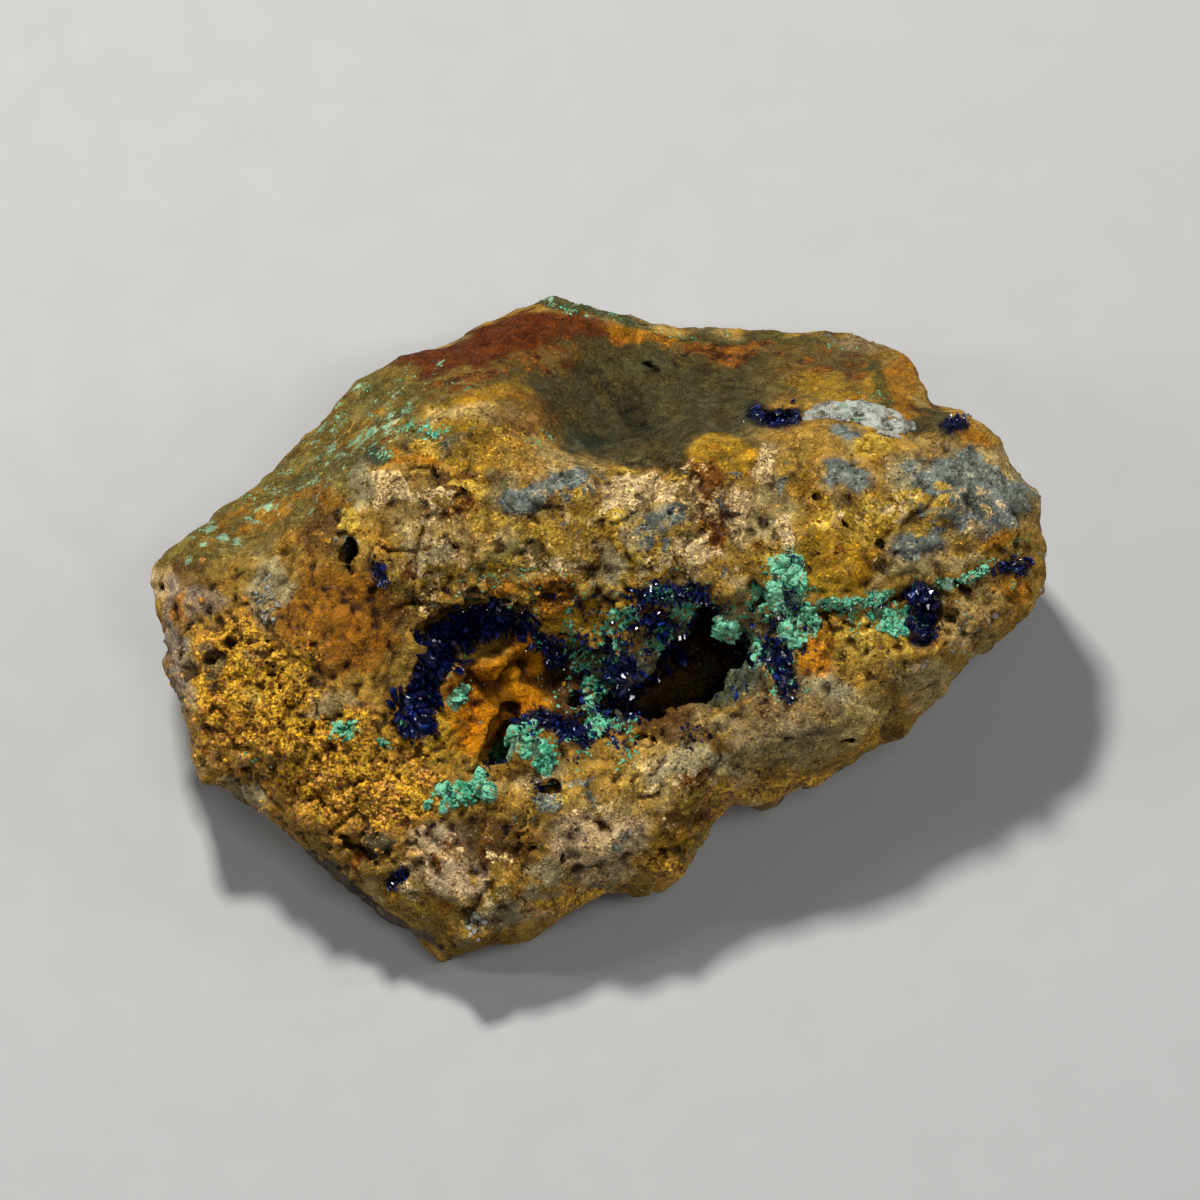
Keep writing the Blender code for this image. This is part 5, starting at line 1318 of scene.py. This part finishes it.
def malachite_group(path, half_width, thick, seed, density=5.0, painted_light_lift=0.0):
    rng = np.random.default_rng(seed)
    w = footprint(path, half_width, 0.55) * (0.03 + 0.97 * step_up(-0.30, 0.20, crumble(MID, 1.25, 110)))
    area = float((w * AREA).sum())
    count = int(min(2400, max(20, area * density)))
    p, n = scatter(w, count, rng)
    x, y = X_MID + p[:, 0] / UNIT, Y_MID - p[:, 1] / UNIT
    d = np.clip(path_distance(x, y, path) / half_width, 0, 1)
    lift = 0.5 * thick * (1 - d ** 2) * rng.uniform(0.0, 0.8, len(p)) * (0.6 + 0.4 * crumble(p, 1.3, 111))
    radius = rng.uniform(0.06, 0.15, len(p)) + 0.16 * rng.random(len(p)) ** 4
    parts = [buds(p + n * lift[:, None], n, radius, rng, 1, 0.3)]
    p, n = scatter(w, max(10, area * 6.5), rng)
    x, y = X_MID + p[:, 0] / UNIT, Y_MID - p[:, 1] / UNIT
    d = np.clip(path_distance(x, y, path) / half_width, 0, 1)
    lift = 0.6 * thick * (1 - d ** 2) * rng.uniform(0.0, 0.8, len(p))
    radius = min(0.62, 0.5 * half_width) * (0.35 + 0.65 * rng.random(len(p)) ** 1.6)
    parts.append(lobes(p + n * lift[:, None], n, radius, rng))
    return [(v, f, np.clip(t + painted_light_lift, 0, 1)) for v, f, t in parts]


for number, (node, (slot, half_width, half_thick, path)) in enumerate(sorted(DRUSES.items())):
    if slot != "malachite":
        continue
    # the curtain and tongue get a much lighter tone, painted light against the shade they lie in under the overhang;
    # the seams a slightly lighter tone
    parts = malachite_group(path, half_width * (1.1 if half_width > 0.75 else 0.8), half_thick, 700 + number,
                            22.0, 0.34 if node in ("malachite_curtain", "malachite_tongue") else 0.08 if "seam" in node else 0.0)
    crystal_piece(node + "_buds", parts, True, MALACHITE, node)

def chunks(p, n, radius, rng, stretch=0.5, flat=1.0):
    """Angular fragments: icosahedra with their corners pushed about."""
    v0, f0 = BALLS[1]
    axis = unit(n + 0.8 * flat * rng.normal(size=n.shape))
    s, t = frames_for(axis, rng)
    r = radius[:, None]
    v, f = many(v0, [f0], p, s * r * rng.uniform(0.6, 1.3, (len(p), 1)),
                t * r * rng.uniform(0.5, 1.1, (len(p), 1)), axis * r * flat * rng.uniform(0.6, 1.2, (len(p), 1)))
    push = rng.uniform(1 - stretch, 1 + 0.3 * stretch, len(v))[:, None]
    centre = np.repeat(p, len(v0), 0)
    v = centre + (v - centre) * push
    return v, f, np.repeat(rng.random(len(p)), len(v0))


# Green specks and small crusts: (x, y, rx, ry, turn, flecks, largest).
GREEN_SPOTS = [
    (668, 626, 44, 36, 0, 620, 0.36), (758, 655, 20, 26, -30, 260, 0.40), (905, 612, 16, 18, 0, 120, 0.36),
    (925, 622, 18, 18, 0, 70, 0.30), (668, 624, 46, 42, 0, 520, 0.26), (606, 692, 34, 60, 10, 700, 0.30), (634, 632, 34, 26, 0, 260, 0.22),
    (552, 604, 84, 14, 0, 170, 0.26), (600, 622, 44, 14, 0, 160, 0.30),
    (560, 660, 30, 30, 0, 120, 0.2), (575, 735, 50, 26, -14, 260, 0.26), (785, 680, 22, 20, 0, 160, 0.24),
    (520, 580, 60, 16, 0, 120, 0.18), (424, 640, 20, 60, 20, 60, 0.18), (410, 715, 10, 26, 0, 70, 0.24),
    (735, 640, 30, 26, 0, 160, 0.26), (912, 600, 40, 26, 0, 160, 0.22), (395, 390, 60, 40, 30, 160, 0.16),
    (764, 612, 34, 22, 0, 240, 0.34), (786, 676, 16, 12, 0, 90, 0.26), (725, 632, 10, 9, 0, 30, 0.3),
    (808, 616, 10, 18, 0, 60, 0.34), (795, 590, 18, 22, 0, 120, 0.34), (901, 621, 14, 14, 0, 60, 0.3),
    (852, 622, 13, 11, 0, 40, 0.26), (850, 606, 30, 7, 0, 80, 0.26), (900, 587, 30, 6, 14, 60, 0.22),
    (600, 700, 17, 30, 0, 110, 0.34), (568, 738, 20, 20, 0, 60, 0.3), (463, 658, 4, 4, 0, 9, 0.2),
    (436, 698, 5, 4, 0, 9, 0.2), (409, 721, 6, 5, 0, 14, 0.24), (250, 757, 6, 4, 0, 9, 0.2),
    (276, 769, 12, 4, -10, 16, 0.18), (721, 696, 8, 7, 0, 18, 0.24), (602, 630, 32, 12, 0, 60, 0.2),
    (530, 576, 30, 12, 0, 46, 0.16), (1013, 590, 3, 13, 0, 14, 0.16), (1028, 541, 10, 4, 0, 16, 0.18),
    (428, 428, 24, 13, 0, 90, 0.22), (460, 390, 10, 8, 0, 22, 0.18), (540, 438, 12, 7, 0, 30, 0.22),
    (972, 652, 14, 7, 20, 26, 0.16), (470, 700, 30, 22, 0, 20, 0.16), (640, 618, 20, 10, 0, 30, 0.2),
    (240, 790, 24, 8, -25, 30, 0.15), (446, 858, 18, 14, 0, 12, 0.15), (590, 306, 60, 9, -10, 110, 0.18),
    (690, 332, 60, 6, 0, 50, 0.15), (310, 455, 130, 34, 35, 260, 0.12), (210, 525, 44, 16, 35, 80, 0.12), (424, 428, 26, 10, 0, 110, 0.26),
    (860, 340, 40, 8, 0, 30, 0.15), (872, 398, 18, 8, 0, 26, 0.2), (740, 690, 16, 12, 0, 24, 0.22),
    (560, 650, 40, 26, 0, 26, 0.16), (950, 598, 40, 22, 0, 30, 0.16), (380, 455, 15, 5, 5, 40, 0.2),
    (1000, 560, 26, 8, 10, 30, 0.18), (700, 600, 40, 12, 0, 26, 0.18), (655, 625, 34, 30, 0, 46, 0.2),
]
rng = np.random.default_rng(78)
parts = []
for cx, cy, rx, ry, turn, count, largest in GREEN_SPOTS:
    w = spot(MX, MY, cx, cy, rx, ry, turn, 0.45) * MID_AHEAD * (MID[:, 2] > -18)
    w = w * step_up(-0.05, 0.35, fractal(MID, 1.6, 103, 2))
    p, n = scatter(w, count, rng)
    radius = 1.35 * largest * (0.25 + 0.75 * rng.random(len(p)) ** 1.5)
    v, f, t = chunks(p - 0.02 * n, n, radius, rng, 0.6, 0.5)
    parts.append((v, f, 0.25 + 0.6 * t))
crystal_piece("malachite_specks", parts, False, MALACHITE)

# ------------------------------------------------------------------ quartz
slot, half_width, half_thick, path = DRUSES["quartz_band"]
rng = np.random.default_rng(79)
p, n = scatter(footprint(path, half_width * 0.62, 0.5), 52, rng)
along = unit(np.array([76.0, -22.0, 6.0]) + 12 * rng.normal(size=p.shape))
along = unit(along - n * (along * n).sum(1, keepdims=True))
size = rng.uniform(0.35, 0.85, (len(p), 1))
v0, f0 = BALLS[3]
v, f = many(v0, [f0], p - 0.1 * n, along * size * 2.0, np.cross(n, along) * size * 0.8, n * size * 0.6)
push = fractal(v, 1.0, 205, 3)[:, None]
v = v + (v - np.repeat(p, len(v0), 0)) * 0.8 * push
parts = [(v, f, np.repeat(rng.random(len(p)), len(v0)))]
p, n = scatter(footprint(path, half_width * 0.6, 0.3), 50, rng)
parts.append(chunks(p + 0.25 * n, n, rng.uniform(0.12, 0.45, len(p)), rng))
crystal_piece("quartz_band_crystals", parts, False, QUARTZ, "quartz_band")
parts = []
for cx, cy, rx, ry, count, size in ((970, 624, 11, 11, 16, 0.6), (990, 617, 8, 7, 10, 0.5), (1041, 596, 7, 16, 16, 0.5),
                                    (1040, 554, 6, 6, 8, 0.4), (270, 598, 12, 26, 26, 0.6), (476, 926, 12, 12, 18, 0.6),
                                    (921, 665, 8, 6, 10, 0.4), (955, 648, 8, 6, 10, 0.4), (786, 676, 14, 10, 14, 0.3),
                                    (156, 566, 5, 5, 6, 0.3)):
    w = spot(MX, MY, cx, cy, rx, ry) * MID_AHEAD
    p, n = scatter(w, count, rng)
    parts.append(chunks(p - 0.1 * n, n, rng.uniform(0.4, 1.0, len(p)) * size, rng))
crystal_piece("quartz_fragments", parts, False, QUARTZ)

# ------------------------------------------------------------------ golden crust and crumbs
rng = np.random.default_rng(80)
golden = np.zeros(len(MX))
for name, cx, cy, rx, ry, turn, amount in ZONES:
    if name == "gold":
        golden = np.maximum(golden, amount * spot(MX, MY, cx, cy, rx, ry, turn, 0.35))
    elif name in ("boss", "taupe", "pink", "grey", "tongue"):
        golden = golden * (1 - 0.85 * amount * spot(MX, MY, cx, cy, rx, ry, turn, 0.35))
golden = np.maximum(golden, 0.22 * texture_map("nodular", MX, MY))
patchy = step_up(-0.35, 0.35, crumble(MID, 2.4, 104))
grainy = 0.10 + np.maximum(np.maximum(spot(MX, MY, 408, 795, 32, 36), 0.7 * spot(MX, MY, 315, 800, 46, 26, -30)),
                           0.6 * spot(MX, MY, 225, 720, 36, 26))
p, n = scatter(golden * grainy * MID_AHEAD * (0.10 + 0.90 * patchy), 1050, rng)
radius = 0.09 + 0.26 * rng.random(len(p)) ** 2.0
v, f, t = buds(p - 0.25 * n * radius[:, None], n, radius, rng, 2, 0.55)
per = len(v) // len(p)
mood = np.repeat(0.5 + 0.5 * fractal(p, 2.2, 105, 2) + 0.25 * rng.normal(size=len(p)), per)
lo, mid, hi = (np.array(c) for c in ((0.12, 0.036, 0.002), (0.52, 0.22, 0.008), (0.80, 0.44, 0.040)))
tone = np.clip(mood, 0, 1)[:, None]
colour = np.where(tone < 0.5, lo + (mid - lo) * tone * 2, mid + (hi - mid) * (tone * 2 - 1))
crust = mesh_object("limonite_granules", lay_down(v), f, True, GOLD)
paint(crust.data, "tint", colour)
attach(crust, "root")

rng = np.random.default_rng(81)
w = (texture_map("breccia", MX, MY) + 0.35 * texture_map("nodular", MX, MY) + 0.2 * texture_map("pitted", MX, MY)) * MID_AHEAD
w = (w + 0.35 * (1 - MID_AHEAD)) * (MID_N[:, 2] > -0.75)
w = w * (lay_down(MID)[:, 2] > 0.0012)
p, n = scatter(w, 4600, rng)
radius = 0.07 + 0.26 * rng.random(len(p)) ** 3
v, f, t = chunks(p - 0.15 * n * radius[:, None], n, radius, rng, 0.45)
per = len(v) // len(p)
own, shine, _, layer = colour_stone(p, widest_depth(p[:, 0], p[:, 1]))
own = own * np.clip(1 + 0.25 * rng.normal(size=(len(p), 1)), 0.4, 1.6)
crumbs = mesh_object("matrix_crumbs", lay_down(v), f, False, GOSSAN)
paint(crumbs.data, "tint", np.clip(np.repeat(own, per, 0), 0, 1))
paint(crumbs.data, "gloss", np.repeat(shine, per))
paint(crumbs.data, "coarse", np.full(len(v), 0.3))
paint(crumbs.data, "hollow", np.zeros(len(v)))
for mineral in CRISP:
    paint(crumbs.data, mineral, np.repeat(layer[mineral], per))
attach(crumbs, "root")

# ------------------------------------------------------------------ floor, light, camera
bm = bmesh.new()
bmesh.ops.create_grid(bm, x_segments=2, y_segments=2, size=1.5)
mesh = bpy.data.meshes.new("floor")
bm.to_mesh(mesh)
bm.free()
mesh.materials.append(floor_material())
floor = bpy.data.objects.new("floor", mesh)
floor.location.z = -0.00005
bpy.context.scene.collection.objects.link(floor)

MIDDLE = Vector(lay_down(np.array([0.0, 2.7, 0.0])))


def towards(u, v, w):
    """A direction given in the front view, in the part's frame."""
    d = lay_down(np.array([u, v, w], float)) - lay_down(np.zeros(3))
    return Vector(d).normalized()


def softbox(name, direction, distance, width, height, watts, colour=(1, 1, 1)):
    light = bpy.data.lights.new(name, "AREA")
    light.shape = "RECTANGLE"
    light.size, light.size_y = width, height
    light.energy = watts
    light.color = colour
    ob = bpy.data.objects.new(name, light)
    d = towards(*direction)
    ob.location = MIDDLE + d * distance
    ob.rotation_mode = "QUATERNION"
    ob.rotation_quaternion = d.to_track_quat("Z", "Y")
    bpy.context.scene.collection.objects.link(ob)
    return ob


softbox("key", (-0.35, 1.25, 1.05), 0.62, 0.08, 0.07, 4.6, (1.0, 0.985, 0.96))
softbox("front", (0.30, 0.10, 1.5), 0.75, 0.22, 0.16, 1.1)
softbox("left_strip", (-1.3, 0.25, 0.75), 0.55, 0.04, 0.26, 0.8)
softbox("right_strip", (1.3, 0.35, 0.65), 0.55, 0.04, 0.26, 0.8)

world = bpy.data.worlds.new("studio")
world.use_nodes = True
world.node_tree.nodes["Background"].inputs["Color"].default_value = (0.9, 0.95, 1.0, 1)
world.node_tree.nodes["Background"].inputs["Strength"].default_value = 0.06
bpy.context.scene.world = world
bpy.context.scene.view_settings.view_transform = "Standard"

camera = bpy.data.cameras.new("camera")
camera.sensor_width = 36.0
camera.lens = 750.0
camera.clip_start, camera.clip_end = 0.05, 20.0
eye = bpy.data.objects.new("camera", camera)
back = towards(0, 0, 1)
eye.location = MIDDLE + back * 2.5
up, right = towards(0, 1, 0), towards(1, 0, 0)
eye.rotation_mode = "QUATERNION"
eye.rotation_quaternion = Matrix((right, up, back)).transposed().to_quaternion()
bpy.context.scene.collection.objects.link(eye)
bpy.context.scene.camera = eye
